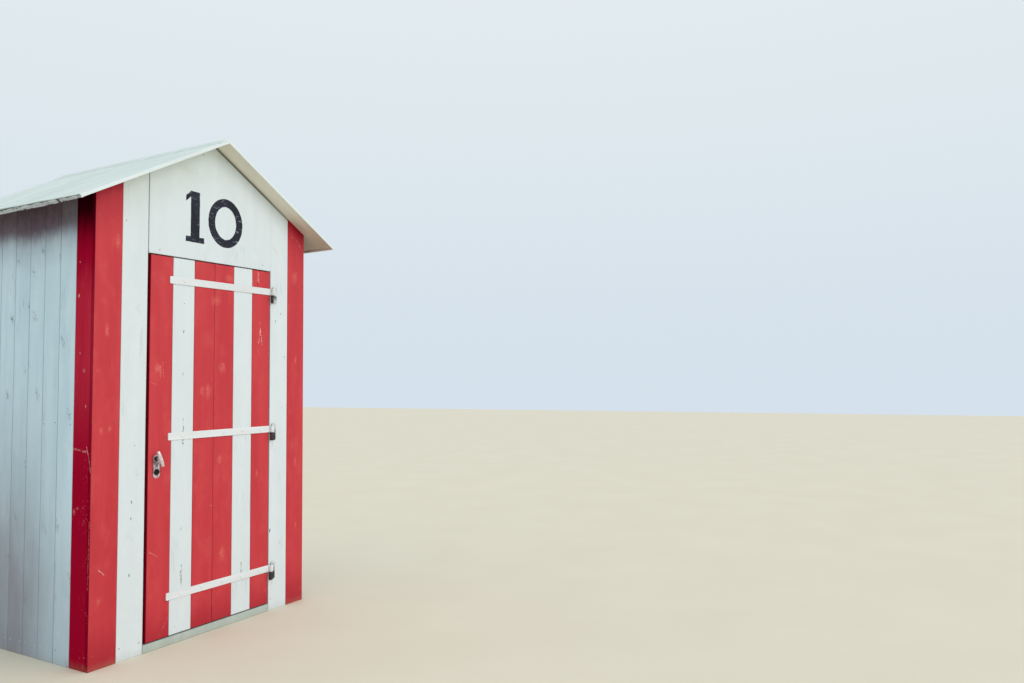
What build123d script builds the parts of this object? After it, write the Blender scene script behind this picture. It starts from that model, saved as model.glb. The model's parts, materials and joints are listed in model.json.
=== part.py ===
"""A timber beach hut with a striped front, a boarded door on strap hinges and a sheet roof.

Millimetres. +Z is up, the front faces -Y and +X is to the right of someone facing the front.
The origin is on the ground, under the middle of the roof.
"""
import os
from math import atan2, cos, radians, sin, tan

from build123d import *

# Hut
hut_width = 1450.0
hut_depth = 1360.0
eave_height = 2373.0
roof_pitch = 29.3
roof_side_overhang = 150.0
roof_end_overhang = 121.0
roof_sheet = 15.0
roof_cover = 3.0
roof_cover_drip = 4.0

# Boards
board = 22.0
board_edge_chamfer = 1.5
lock_side_width = 297.0
corner_board_width = 150.0
side_board_cover = 135.0
rear_board_cover = 145.0
groove_width = 6.0
groove_depth = 3.0
gable_panel_proud = 2.0
gable_panel_gap = 3.0

# Frame
timber = 45.0
middle_rail_height = 1180.0
ridge_beam_depth = 95.0
stop_width = 25.0
stop_depth = 20.0

# Floor
bearer_width = 60.0
bearer_height = 25.0
bearer_inset = 53.0
deck_board = 20.0
deck_board_cover = 120.0

# Door
door_width = 838.0
door_height = 2041.0
door_board_count = 6
door_board = 22.0
door_proud = 2.0
lock_gap = 16.0
hinge_gap = 9.0
head_gap = 6.0
foot_gap = 6.0
stop_gap = 5.0
ledge_width = 95.0
ledge_thickness = 22.0
ledge_inset = 38.0
ledge_edge_chamfer = 3.0
brace_width = 90.0
brace_foot_inset = 60.0
brace_head_inset = 102.0

# Strap hinges, with the height of each above the door's foot
strap_heights = {"bottom": 209.0, "middle": 1063.0, "top": 1916.0}
strap_reach = 738.0
strap_width = 40.0
strap_thickness = 5.0
strap_end_corner = 6.0
eye_radius = 12.0
roll_gap_angle = 14.0
pin_clearance = 0.3
seat_clearance = 0.3
axis_inset = 8.0

# Pintles
pintle_radius = 11.0
pintle_drop = 50.0
pintle_plate_width = 32.0
pintle_plate_rise = 14.0
pintle_plate_thickness = 4.0
pintle_plate_corner = 8.0
pintle_eye_gap = 1.0
pintle_neck = 9.0
pintle_foot_chamfer = 1.5
pin_end_chamfer = 1.0

# Lock and handle
backset = 50.0
spindle_height = 951.0
spindle_to_key = 70.0
plate_width = 42.0
plate_above_spindle = 21.0
plate_height = 124.0
plate_thickness = 3.5
rim_radius = 13.0
rim_height = 1.5
cylinder_radius = 13.0
cylinder_height = 2.5
rosette_radius = 16.5
rosette_chamfer = 1.0
key_slot_width = 3.0
key_slot_length = 12.0
spindle_radius = 5.0
spindle_clearance = 0.5
hub_radius = 10.5
hub_length = 7.0
hub_clearance = 0.3
stem_radius = 6.0
grip_reach = 36.0
grip_length = 89.0
grip_middle = 30.0
grip_radius = 8.5
grip_end_radius = 6.0
grip_end_chamfer = 1.5
grip_tilt = 21.0

# Levels and planes that follow from the sizes above
slope = tan(radians(roof_pitch))
half_width = hut_width / 2
half_depth = hut_depth / 2
front = -half_depth
inner_front = front + board
inner_rear = half_depth - board
inner_side = half_width - board
ridge_height = eave_height + slope * half_width
deck_top = bearer_height + deck_board
door_foot = deck_top + foot_gap
door_top = door_foot + door_height
gable_foot = door_top + head_gap
doorway_left = -half_width + lock_side_width
door_left = doorway_left + lock_gap
door_right = door_left + door_width
doorway_right = door_right + hinge_gap
door_face = front - door_proud
door_back = door_face + door_board
axis_x = doorway_right + axis_inset
axis_y = door_face - eye_radius
spindle_x = door_left + backset
spindle_z = door_foot + spindle_height
key_z = spindle_z - spindle_to_key
plate_sill = eave_height + slope * board - timber
post_inner_x = inner_side - timber
rafter_drop = timber / cos(radians(roof_pitch))

parts = {}


def slab(x0, x1, y0, y1, z0, z1):
    """A box given by its low and high planes."""
    size = (x1 - x0, y1 - y0, z1 - z0)
    return Pos(x0, y0, z0) * Box(*size, align=(Align.MIN, Align.MIN, Align.MIN))


def profile_along_y(points, y0, y1):
    """A closed outline of (x, z) points, carried from y0 to y1."""
    outline = make_face(Polyline(*points, close=True))
    return Pos(0, y1, 0) * extrude(Plane.XZ * outline, amount=y1 - y0)


def soffit(x):
    """Height of the roof's underside over x."""
    return ridge_height - slope * abs(x)


def under_roof(piece, drop=0.0):
    """The piece, trimmed to the underside of the roof or to a line below it."""
    reach = half_width + roof_side_overhang
    outline = [(-reach, 0), (reach, 0), (reach, soffit(reach) - drop)]
    outline += [(0, soffit(0) - drop), (-reach, soffit(reach) - drop)]
    return piece & profile_along_y(outline, -hut_depth, hut_depth)


def mirror_x(piece):
    return mirror(piece, about=Plane.YZ)


def round_along_y(radius, x, z, y0, y1):
    """A round bar or hole about (x, z), from y0 to y1."""
    return Pos(x, (y0 + y1) / 2, z) * Rot(90, 0, 0) * Cylinder(radius, y1 - y0)


def upright_along_z(radius, z0, z1):
    """A round pin about the hinges' axis, from z0 to z1."""
    return Pos(axis_x, axis_y, (z0 + z1) / 2) * Cylinder(radius, z1 - z0)


def eased(piece):
    """A vertical board with its two long face edges eased."""
    face_edges = piece.edges().filter_by(Axis.Z).group_by(Axis.Y)[0]
    return chamfer(face_edges, board_edge_chamfer)


def front_board(x0, x1):
    """A vertical front board from the ground to the underside of the roof."""
    return under_roof(eased(slab(x0, x1, front, inner_front, 0, ridge_height)))


def grooves_along(start, stop, cover):
    """Places of the joints between boards of one cover width laid from start to stop."""
    count = int((stop - start - groove_width) // cover)
    return [start + cover * (i + 1) for i in range(count)]


def v_groove():
    """A vertical V-shaped cutter with its mouth in the plane y = 0."""
    half_mouth = groove_width / 2
    outline = make_face(Polyline((-half_mouth, 0), (half_mouth, 0), (0, groove_depth), close=True))
    return extrude(outline, amount=ridge_height)


def add_floor():
    half_bearer = bearer_width / 2
    outer_bearer = inner_side - bearer_inset - half_bearer
    parts["bearers"] = [
        slab(x - half_bearer, x + half_bearer, inner_front, inner_rear, 0, bearer_height)
        for x in (-outer_bearer, 0, outer_bearer)
    ]
    deck = slab(-inner_side, inner_side, inner_front, inner_rear, bearer_height, deck_top)
    joint = Box(hut_width, groove_width / 2, groove_depth)
    for y in grooves_along(inner_front, inner_rear, deck_board_cover):
        deck -= Pos(0, y, deck_top) * joint
    parts["floor_deck"] = [deck]
    parts["threshold"] = [slab(doorway_left, doorway_right, front, inner_front, 0, deck_top)]


def add_frame():
    post_y = ((inner_front, inner_front + timber), (inner_rear - timber, inner_rear))
    parts["corner_posts"] = [
        slab(x0, x0 + timber, y0, y1, deck_top, plate_sill)
        for x0 in (-inner_side, inner_side - timber)
        for y0, y1 in post_y
    ]
    post_back = inner_front + timber
    parts["door_posts"] = [
        under_roof(slab(x0, x0 + timber, inner_front, post_back, deck_top, ridge_height), rafter_drop)
        for x0 in (doorway_left - timber, doorway_right)
    ]
    parts["door_head"] = [
        slab(doorway_left, doorway_right, inner_front, post_back, gable_foot, gable_foot + timber)
    ]
    stop_y = door_back + stop_gap
    upright = (stop_y, stop_y + stop_depth, deck_top, gable_foot)
    parts["door_stops"] = [
        slab(doorway_left, doorway_left + stop_width, *upright),
        slab(doorway_right - stop_width, doorway_right, *upright),
        slab(
            doorway_left + stop_width, doorway_right - stop_width,
            stop_y, stop_y + stop_depth, gable_foot - stop_width, gable_foot,
        ),
    ]
    for name, z in (("bottom_rails", deck_top), ("middle_rails", middle_rail_height)):
        side = slab(-inner_side, -post_inner_x, post_back, inner_rear - timber, z, z + timber)
        parts[name] = [
            side,
            mirror_x(side),
            slab(-post_inner_x, post_inner_x, inner_rear - timber, inner_rear, z, z + timber),
            slab(-post_inner_x, doorway_left - timber, inner_front, post_back, z, z + timber),
            slab(doorway_right + timber, post_inner_x, inner_front, post_back, z, z + timber),
        ]
    plate = under_roof(slab(-inner_side, -post_inner_x, inner_front, inner_rear, plate_sill, ridge_height))
    parts["eave_plates"] = [plate, mirror_x(plate)]
    parts["rear_tie_rail"] = [
        slab(-post_inner_x, post_inner_x, inner_rear - timber, inner_rear, plate_sill - timber, plate_sill)
    ]


def add_roof_timbers():
    beam_foot = ridge_height - ridge_beam_depth
    beam = slab(-timber / 2, timber / 2, inner_front, inner_rear, beam_foot, ridge_height)
    parts["ridge_beam"] = [under_roof(beam)]
    foot, head = -post_inner_x, -timber / 2
    outline = [
        (foot, soffit(foot) - rafter_drop),
        (head, soffit(head) - rafter_drop),
        (head, soffit(head)),
        (foot, soffit(foot)),
    ]
    parts["rafters"] = []
    for y in (inner_front, -timber / 2, inner_rear - timber):
        rafter = profile_along_y(outline, y, y + timber)
        parts["rafters"] += [rafter, mirror_x(rafter)]


def add_walls():
    corner_end = front + corner_board_width
    wall = slab(-half_width, -inner_side, corner_end, inner_rear, 0, ridge_height)
    groove = Rot(0, 0, -90) * v_groove()
    for y in grooves_along(corner_end, inner_rear, side_board_cover):
        wall -= Pos(-half_width, y, 0) * groove
    wall = under_roof(wall)
    parts["left_wall"] = [wall]
    parts["right_wall"] = [mirror_x(wall)]

    corner = slab(-half_width, -inner_side, inner_front, corner_end, 0, ridge_height)
    outer_edge = corner.edges().filter_by(Axis.Z).group_by(Axis.X)[0].sort_by(Axis.Y)[-1]
    corner = under_roof(chamfer(outer_edge, board_edge_chamfer))
    parts["left_corner_board"] = [corner]
    parts["right_corner_board"] = [mirror_x(corner)]

    rear = slab(-half_width, half_width, inner_rear, half_depth, 0, ridge_height)
    groove = Rot(0, 0, 180) * v_groove()
    for x in grooves_along(-half_width, half_width, rear_board_cover):
        rear -= Pos(x, half_depth, 0) * groove
    parts["rear_wall"] = [under_roof(rear)]


def add_front():
    left_joint = (doorway_left - half_width) / 2
    right_joint = (doorway_right + half_width) / 2
    parts["red_board_left"] = [front_board(-half_width, left_joint)]
    parts["white_board_left"] = [front_board(left_joint, doorway_left)]
    parts["white_board_right"] = [front_board(doorway_right, right_joint)]
    parts["red_board_right"] = [front_board(right_joint, half_width)]
    panel = slab(
        doorway_left + gable_panel_gap, doorway_right,
        front - gable_panel_proud, inner_front, gable_foot, ridge_height,
    )
    parts["gable_panel"] = [under_roof(panel)]


def add_roof():
    """A square-cut sheet and its thin cover on each slope. The right ones lap over the left ones."""
    pitch = radians(roof_pitch)
    run = (half_width + roof_side_overhang) / cos(pitch)
    drip = run + roof_cover_drip
    lap = (roof_sheet + roof_cover) / sin(2 * pitch)
    top = roof_sheet + roof_cover
    y0 = front - roof_end_overhang
    y1 = half_depth + roof_end_overhang

    def place(distance, height):
        """A point on the right slope: distance down from the ridge, height square to the slope."""
        x = distance * cos(pitch) + height * sin(pitch)
        z = ridge_height - distance * sin(pitch) + height * cos(pitch)
        return x, z

    def mirrored(points):
        return [(-x, z) for x, z in points]

    def on_lap_end(height):
        """The point of the lap's square-cut end that lies at this height on the left slope."""
        share = height / top
        foot, head = (0, ridge_height), place(-lap, 0)
        return foot[0] + share * (head[0] - foot[0]), foot[1] + share * (head[1] - foot[1])

    right = [place(-lap, 0), place(run, 0), place(run, roof_sheet), place(-lap, roof_sheet)]
    right_cover = [place(-lap, roof_sheet), place(drip, roof_sheet), place(drip, top), place(-lap, top)]
    left = [on_lap_end(0), on_lap_end(roof_sheet)] + mirrored([place(run, roof_sheet), place(run, 0)])
    left_cover = [on_lap_end(roof_sheet), on_lap_end(top)]
    left_cover += mirrored([place(drip, top), place(drip, roof_sheet)])
    parts["roof_panel_right"] = [profile_along_y(right, y0, y1)]
    parts["roof_panel_left"] = [profile_along_y(left, y0, y1)]
    parts["roof_cover_right"] = [profile_along_y(right_cover, y0, y1)]
    parts["roof_cover_left"] = [profile_along_y(left_cover, y0, y1)]


def strap(z):
    """A flat iron with its end rolled into an eye round the hinge pin."""
    flat_end = axis_x - strap_reach
    inner_radius = eye_radius - strap_thickness
    gap_reach = 2 * eye_radius
    flat = slab(flat_end, axis_x, door_face - strap_thickness, door_face, 0, strap_width)
    free_corners = flat.edges().filter_by(Axis.Y).group_by(Axis.X)[0]
    flat = fillet(free_corners, strap_end_corner)
    eye = Circle(eye_radius) - Circle(inner_radius)
    gap_corner = (-gap_reach, gap_reach * tan(radians(roll_gap_angle)))
    gap = make_face(Polyline((0, 0), (-gap_reach, 0), gap_corner, close=True))
    rolled = Pos(axis_x, axis_y, 0) * extrude(eye - gap, amount=strap_width)
    return Pos(0, 0, z - strap_width / 2) * (flat + rolled)


def pintle(z):
    """A pin on a short forged arm, with its plate flat against the board."""
    pin_radius = eye_radius - strap_thickness - pin_clearance
    seat = z - strap_width / 2 - seat_clearance
    foot = seat - pintle_drop
    body = upright_along_z(pintle_radius, foot, seat)
    body = chamfer(body.edges().group_by(Axis.Z)[0], pintle_foot_chamfer)
    pin = upright_along_z(pin_radius, seat, seat + strap_width)
    pin = chamfer(pin.edges().group_by(Axis.Z)[-1], pin_end_chamfer)
    clear = eye_radius + pintle_eye_gap
    behind_eye = front - pintle_plate_thickness - axis_y
    plate_left = axis_x + (clear ** 2 - behind_eye ** 2) ** 0.5
    plate_right = plate_left + pintle_plate_width
    plate_top = z + strap_width / 2 + pintle_plate_rise
    plate = slab(plate_left, plate_right, front - pintle_plate_thickness, front, foot, plate_top)
    plate = fillet(plate.edges().filter_by(Axis.Y), pintle_plate_corner)
    neck = slab(
        axis_x, plate_right - pintle_plate_corner,
        front - pintle_plate_thickness - pintle_neck, front - pintle_plate_thickness / 2,
        foot + pintle_plate_corner, seat - pintle_plate_corner / 2,
    )
    return body + pin + plate + neck


def add_hinges():
    for name, height in strap_heights.items():
        parts["strap_" + name] = [strap(door_foot + height)]
        parts["pintle_" + name] = [pintle(door_foot + height)]


def add_door_boards():
    cover = door_width / door_board_count
    through = (door_face - door_board, door_back + door_board)
    holes = round_along_y(spindle_radius + spindle_clearance, spindle_x, spindle_z, *through)
    holes += round_along_y(cylinder_radius, spindle_x, key_z, *through)
    for i in range(door_board_count):
        x0 = door_left + cover * i
        piece = eased(slab(x0, x0 + cover, door_face, door_back, door_foot, door_top))
        if x0 < spindle_x < x0 + cover:
            piece -= holes
        parts["door_board_%d" % (i + 1)] = [piece]


def add_door_back():
    """A ledge behind each strap, and between them braces that rise from the hinge side."""
    x0 = door_left + ledge_inset
    x1 = door_right - ledge_inset
    levels = [door_foot + height for height in strap_heights.values()]
    ledges = []
    for z in levels:
        low, high = z - ledge_width / 2, z + ledge_width / 2
        ledge = slab(x0, x1, door_back, door_back + ledge_thickness, low, high)
        back_edges = ledge.edges().group_by(Axis.Y)[-1]
        ledges.append(chamfer(back_edges, ledge_edge_chamfer))
    parts["door_ledges"] = ledges
    braces = []
    for low, high in zip(levels, levels[1:]):
        z0 = low + ledge_width / 2
        z1 = high - ledge_width / 2
        foot = x1 - brace_foot_inset
        head = x0 + brace_head_inset
        half_cut = brace_width / sin(atan2(z1 - z0, foot - head)) / 2
        outline = [(foot - half_cut, z0), (foot + half_cut, z0)]
        outline += [(head + half_cut, z1), (head - half_cut, z1)]
        braces.append(profile_along_y(outline, door_back, door_back + ledge_thickness))
    parts["door_braces"] = braces


def add_lock():
    """A long plate with round ends on each face of the door, and the key's cylinder through both.

    Outside, a low rim stands round the spindle's hole and a wider rosette covers the cylinder's end.
    """
    middle_z = spindle_z + plate_above_spindle - plate_height / 2
    plate_out = door_face - plate_thickness
    plate_in = door_back + plate_thickness
    outline = SlotOverall(plate_height, plate_width, rotation=90)
    plate = extrude(Plane.XZ * outline, amount=plate_thickness)
    rim = round_along_y(rim_radius, spindle_x, spindle_z, plate_out - rim_height, plate_out)
    hub_hole = round_along_y(
        hub_radius + hub_clearance, spindle_x, spindle_z, plate_out - rim_height, plate_in
    )
    barrel = round_along_y(cylinder_radius, spindle_x, key_z, plate_out, plate_in + cylinder_height)
    parts["lock_plates"] = [
        Pos(spindle_x, door_face, middle_z) * plate + rim - hub_hole - barrel,
        Pos(spindle_x, plate_in, middle_z) * plate - hub_hole - barrel,
    ]
    rosette_face = plate_out - cylinder_height
    rosette = round_along_y(rosette_radius, spindle_x, key_z, rosette_face, plate_out)
    rosette = chamfer(rosette.edges().group_by(Axis.Y)[0], rosette_chamfer)
    slot = Pos(spindle_x, rosette_face, key_z) * Box(key_slot_width, 2 * cylinder_height, key_slot_length)
    parts["lock_cylinder"] = [barrel + rosette - slot]


def grip():
    """A round bar along Z, straight in the middle, tapering to blunt ends with their edges broken."""
    end = grip_length / 2
    middle = grip_middle / 2
    upper = [
        (grip_radius, middle),
        (grip_end_radius, end - grip_end_chamfer),
        (grip_end_radius - grip_end_chamfer, end),
        (0, end),
    ]
    lower = [(r, -z) for r, z in reversed(upper)]
    return revolve(make_face(Plane.XZ * Polyline(*upper, *lower, close=True)), Axis.Z, 360)


def add_handle():
    """Both grips, their stems and hubs, and the spindle that joins them through the door."""
    outside = door_face - grip_reach
    inside = door_back + grip_reach
    hub_out = door_face - plate_thickness - hub_length
    hub_in = door_back + plate_thickness + hub_length
    rounds = (
        (spindle_radius, door_face - hub_length, door_back + hub_length),
        (hub_radius, hub_out, door_face - hub_clearance),
        (hub_radius, door_back + hub_clearance, hub_in),
        (stem_radius, outside, hub_out),
        (stem_radius, hub_in, inside),
    )
    handle = Part()
    for radius, y0, y1 in rounds:
        handle += round_along_y(radius, spindle_x, spindle_z, y0, y1)
    for y in (outside, inside):
        handle += Pos(spindle_x, y, spindle_z) * Rot(0, -grip_tilt, 0) * grip()
    parts["handle"] = [handle]


def write_parts():
    os.makedirs("parts", exist_ok=True)
    for name, pieces in parts.items():
        solids = [solid for piece in pieces for solid in piece.solids()]
        export_step(Compound(children=solids), "parts/%s.step" % name)


add_floor()
add_frame()
add_roof_timbers()
add_walls()
add_front()
add_roof()
add_hinges()
add_door_boards()
add_door_back()
add_lock()
add_handle()
write_parts()
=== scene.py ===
"""Boards, roof, ironwork, paint, light and camera of a timber beach hut.

Metres, in the frame's own axes: +Z up, the striped front faces -Y, the origin on the ground under the roof.
"""
import json
import random
from math import atan, cos, pi, radians, sin, tan

import bmesh
import bpy
import numpy as np
from mathutils import Euler, Matrix, Vector
from mathutils.noise import noise as ripple


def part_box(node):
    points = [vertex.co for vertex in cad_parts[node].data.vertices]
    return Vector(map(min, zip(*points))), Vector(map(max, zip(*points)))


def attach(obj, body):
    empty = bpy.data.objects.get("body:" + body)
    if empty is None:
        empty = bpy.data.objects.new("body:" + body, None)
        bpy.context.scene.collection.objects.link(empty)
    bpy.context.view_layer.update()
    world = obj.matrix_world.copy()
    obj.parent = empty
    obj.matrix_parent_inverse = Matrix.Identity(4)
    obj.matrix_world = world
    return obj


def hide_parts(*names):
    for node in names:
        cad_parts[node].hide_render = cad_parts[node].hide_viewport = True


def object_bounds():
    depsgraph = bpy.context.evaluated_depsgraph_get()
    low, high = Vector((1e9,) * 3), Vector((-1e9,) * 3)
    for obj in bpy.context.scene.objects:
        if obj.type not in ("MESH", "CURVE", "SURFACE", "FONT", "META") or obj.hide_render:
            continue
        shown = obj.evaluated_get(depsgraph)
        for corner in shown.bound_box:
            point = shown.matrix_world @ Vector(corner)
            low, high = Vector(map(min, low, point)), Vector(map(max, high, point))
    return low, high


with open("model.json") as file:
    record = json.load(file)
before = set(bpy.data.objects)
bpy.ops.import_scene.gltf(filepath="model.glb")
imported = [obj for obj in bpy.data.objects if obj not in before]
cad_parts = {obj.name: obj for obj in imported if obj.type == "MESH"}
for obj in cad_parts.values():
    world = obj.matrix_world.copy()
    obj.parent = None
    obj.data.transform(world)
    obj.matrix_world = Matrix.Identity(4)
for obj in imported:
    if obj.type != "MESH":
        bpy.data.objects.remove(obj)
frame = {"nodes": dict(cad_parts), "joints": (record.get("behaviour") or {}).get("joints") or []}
bpy.ops.object.select_all(action="DESELECT")
cad_low, cad_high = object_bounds()

# Sizes read from the frame
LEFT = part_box("left_wall")[0].x
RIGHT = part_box("right_wall")[1].x
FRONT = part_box("red_board_left")[0].y
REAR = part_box("rear_wall")[1].y
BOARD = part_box("left_wall")[1].x - LEFT
STRIPE_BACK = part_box("red_board_left")[1].y
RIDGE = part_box("gable_panel")[1].z
SLOPE = (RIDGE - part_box("red_board_left")[1].z) / -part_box("red_board_left")[1].x
PITCH = atan(SLOPE)
DOOR_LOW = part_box("door_board_1")[0]
DOOR_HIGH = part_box("door_board_6")[1]
DOOR_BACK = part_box("door_board_1")[1].y
STRAPS = [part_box("strap_" + name) for name in ("bottom", "middle", "top")]
AXIS = Vector(next(joint["pos_m"] for joint in frame["joints"] if joint["name"] == "door_swing"))
SPINDLE = Vector(next(joint["pos_m"] for joint in frame["joints"] if joint["name"] == "handle_turn"))

# Boards
SIDE_COVER = 0.135
REAR_COVER = 0.145
V_EASE = 0.0030
FRONT_EASE = 0.0016
BACK_EASE = 0.0008
MARGIN = 0.006
ROWS = 26
BOW = 0.0006
LIP = 0.0006
SPARE = 0.05
WALL_SPARE = 0.02

# Roof
EAVE_RUN = RIGHT / cos(PITCH) + 0.150 / cos(PITCH)
SHEET = 0.015
COVER = 0.003
DRIP = 0.004
DRIP_STRIP = 0.0145
RIDGE_STRIP = 0.062
LAP = (SHEET + COVER) / sin(2 * PITCH)
LAP_LEAN = 1 / tan(2 * PITCH)
EAVE_CREASE = 0.014
CREASE_WIDTH = 0.009
CREASE_HEIGHT = 0.0012
LIFT_WIDTH = 0.012
LIFT_HEIGHT = 0.0040
COVER_WAVE = 0.0007
COVER_RAG = 0.0025
COVER_SHORT = 0.0050
EAVE_CHIP = 0.0018
DRIP_LEAST = 0.0015
DRIP_SWELL = 0.0055
DRIP_TAPER = 0.30
DRIP_RAG = 0.0006
PANEL_GAP = 0.012

# Ironwork
IRON = 0.005
STRAP_CORNER = 0.006
ROLL_TURN = 300
PLATE = 0.0035
PINTLE_RADIUS = 0.011
PINTLE_DROP = 0.050
PIN_RADIUS = 0.0067
PIN_LENGTH = 0.040
FLANGE_WIDTH = 0.032
FLANGE = 0.004
FLANGE_CORNER = 0.008
FLANGE_SCREWS = (-0.035, 0.012, 0.041)
NECK_REACH = 0.013
NECK_SUNK = 0.002
NECK_FOOT = 0.009
NECK_HEAD = 0.004
NECK_INSET = 0.008
COAT_FADE = 0.006
COAT_RIM = 0.013
COAT_SIDE = 0.006
COAT_EDGE = 0.004
SLOT_HALF_WIDTH = 0.0006
SLOT_DEPTH = 0.0008
BOLT_RADIUS = 0.009
BOLT_HEIGHT = 0.0035
NAIL_RADIUS = 0.0032
NAIL_SUNK = 0.0011
NAIL_STRAY = 0.005
NAIL_INSET = 0.022
NAIL_THICKNESS = 0.0016
NAIL_LEVELS = (0.068, 1.202)
STRIPE_NAIL_TOP = 2.25
SIDE_NAIL_TOP = 2.345
REAR_NAIL_TOP = 2.30
PANEL_NAILS_ACROSS = (-0.36, -0.085, 0.089, 0.37)
PANEL_NAILS_UP = (2.125, 2.50, 2.708)
NUT_RADIUS = 0.0085
NUT_HEIGHT = 0.006
WASHER_RADIUS = 0.011
WASHER = 0.0015
BOLT_TAIL_RADIUS = 0.004
BOLT_TAIL = 0.011

# Lock and handle
LOCK_RADIUS = 0.013
LOCK_SCREW_RADIUS = 0.0032
LOCK_SCREW_INSET = 0.007
ROSETTE_RIM = 0.006
ROSETTE_SUNK = 0.0008
ROSETTE_STEP = 0.0015
ROSETTE_RAISED = 0.0006
HUB_RADIUS = 0.0105
HUB = 0.0105
COLLAR_RADIUS = 0.0078
COLLAR = 0.014
STEM_RADIUS = 0.0060
GRIP_LENGTH = 0.089
GRIP_RADIUS = 0.0085
GRIP_END_RADIUS = 0.0060
GRIP_END_ROUND = 0.0035
GRIP_OVAL = 1.30
GRIP_TILT = -21

# Painted number
NUMBER_FOOT = 2.195
NUMBER_HEAD = 2.485
NUMBER_SERIF = 0.032
ONE_SPAN = (-0.196, -0.072)
ONE_STROKE = 0.060
NOUGHT_SPAN = (-0.044, 0.205)
NOUGHT_STROKE = 0.048
NUMBER_SHAKE = 0.0016
PAINT_FILM = 0.0006

# Light and camera
HORIZON = (0.76, 0.86, 0.96, 1.0)
OVERHEAD = (0.92, 0.99, 1.0, 1.0)
SKY_STRENGTH = 0.87
KEY_STRENGTH = 1.10
KEY_COLOUR = (1.0, 0.955, 0.91)
KEY_SPREAD = 45
KEY_TILT = 70
KEY_TURN = 18
CAMERA_PLACE = (-3.1129, -4.3707, 1.4020)
CAMERA_YAW = 61.054
CAMERA_PITCH = 2.858
CAMERA_ROLL = -0.455
CAMERA_LENS = 27.546

luck = random.Random(7)


# Shaping


def alone(obj):
    """Leaves obj as the only selected object, and the active one."""
    bpy.ops.object.select_all(action="DESELECT")
    obj.select_set(True)
    bpy.context.view_layer.objects.active = obj


def open_mesh(obj):
    alone(obj)
    bpy.ops.object.mode_set(mode="EDIT")
    bpy.ops.mesh.select_all(action="SELECT")


def close_mesh():
    bpy.ops.object.mode_set(mode="OBJECT")


def pick(obj, kind, test):
    """Selects the vertices, edges or faces of an open mesh that pass the test."""
    bpy.ops.mesh.select_mode(type=kind)
    bpy.ops.mesh.select_all(action="DESELECT")
    shape = bmesh.from_edit_mesh(obj.data)
    shape.normal_update()
    for part in {"VERT": shape.verts, "EDGE": shape.edges, "FACE": shape.faces}[kind]:
        if test(part):
            part.select_set(True)
    bmesh.update_edit_mesh(obj.data)


def is_flat_on(face):
    """Whether a face looks straight along one of the axes."""
    return max(abs(part) for part in face.normal) > 0.9999


def spans(edge, axis, least):
    return abs(edge.verts[0].co[axis] - edge.verts[1].co[axis]) > least


def settle(obj):
    """Moves an object's place and turn into its mesh."""
    alone(obj)
    bpy.ops.object.transform_apply(location=True, rotation=True, scale=True)
    return obj


def rotation(degrees, axis):
    return Matrix.Rotation(radians(degrees), 4, axis)


def wave(x, y, z):
    return ripple(Vector((x, y, z)))


def put(obj, place, turn=None):
    """Turns a piece about the origin, moves it and leaves its object at the origin."""
    matrix = Matrix.Translation(place)
    if turn is not None:
        matrix = matrix @ turn
    obj.matrix_world = matrix
    return settle(obj)


def twin(obj):
    """A copy of a piece with a mesh of its own."""
    copy = obj.copy()
    copy.data = obj.data.copy()
    bpy.context.collection.objects.link(copy)
    return copy


def remove(obj):
    bpy.data.objects.remove(obj)


def join(name, pieces):
    """Makes one object of several."""
    bpy.ops.object.select_all(action="DESELECT")
    for piece in pieces:
        piece.select_set(True)
    bpy.context.view_layer.objects.active = pieces[0]
    if len(pieces) > 1:
        bpy.ops.object.join()
    pieces[0].name = name
    pieces[0].data.name = name
    return pieces[0]


def apply_modifier(obj, kind, **settings):
    alone(obj)
    modifier = obj.modifiers.new(kind.lower(), kind)
    for name, value in settings.items():
        setattr(modifier, name, value)
    bpy.ops.object.modifier_apply(modifier=modifier.name)


def sized(scale, place=(0, 0, 0)):
    """Scales and places the piece that has just been added, in its mesh."""
    obj = bpy.context.object
    obj.location = place
    obj.scale = scale
    return settle(obj)


def block(low, high):
    """A box between two corners, with its place in its mesh."""
    low, high = Vector(low), Vector(high)
    bpy.ops.mesh.primitive_cube_add(size=1, location=(low + high) / 2, scale=high - low)
    return settle(bpy.context.object)


def ease_edges(obj, width, segments=2, least_angle=40):
    apply_modifier(
        obj, "BEVEL", width=width, segments=segments, limit_method="ANGLE", angle_limit=radians(least_angle)
    )


def weld(obj):
    """Merges the points of a piece that lie on one another."""
    open_mesh(obj)
    bpy.ops.mesh.remove_doubles(threshold=0.00001)
    close_mesh()


def face_outward(obj):
    """Turns the faces of a closed piece to look out of it."""
    open_mesh(obj)
    bpy.ops.mesh.normals_make_consistent(inside=False)
    shape = bmesh.from_edit_mesh(obj.data)
    if shape.calc_volume(signed=True) < 0:
        bpy.ops.mesh.select_all(action="SELECT")
        bpy.ops.mesh.flip_normals()
    close_mesh()


def cut(obj, place, normal, **settings):
    """Cuts a piece with a plane."""
    open_mesh(obj)
    bpy.ops.mesh.bisect(plane_co=place, plane_no=normal, **settings)
    close_mesh()


def bevel_edges(obj, test, offset, segments):
    """Bevels the edges of an open mesh that pass the test."""
    pick(obj, "EDGE", test)
    bpy.ops.mesh.bevel(offset=offset, segments=segments, affect="EDGES")


def split_edges(obj, test, cuts):
    """Divides the edges of an open mesh that pass the test."""
    pick(obj, "EDGE", test)
    bpy.ops.mesh.subdivide(number_cuts=cuts)


def draw_out(run):
    """Draws the chosen part of an open mesh out by a run."""
    bpy.ops.mesh.extrude_region_move(TRANSFORM_OT_translate={"value": run})


def inset_flats(obj, margin):
    """Runs a border round every straight-facing face, so that wear can fade within it."""
    open_mesh(obj)
    pick(obj, "FACE", is_flat_on)
    bpy.ops.mesh.inset(thickness=margin, use_individual=True)
    close_mesh()


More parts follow.
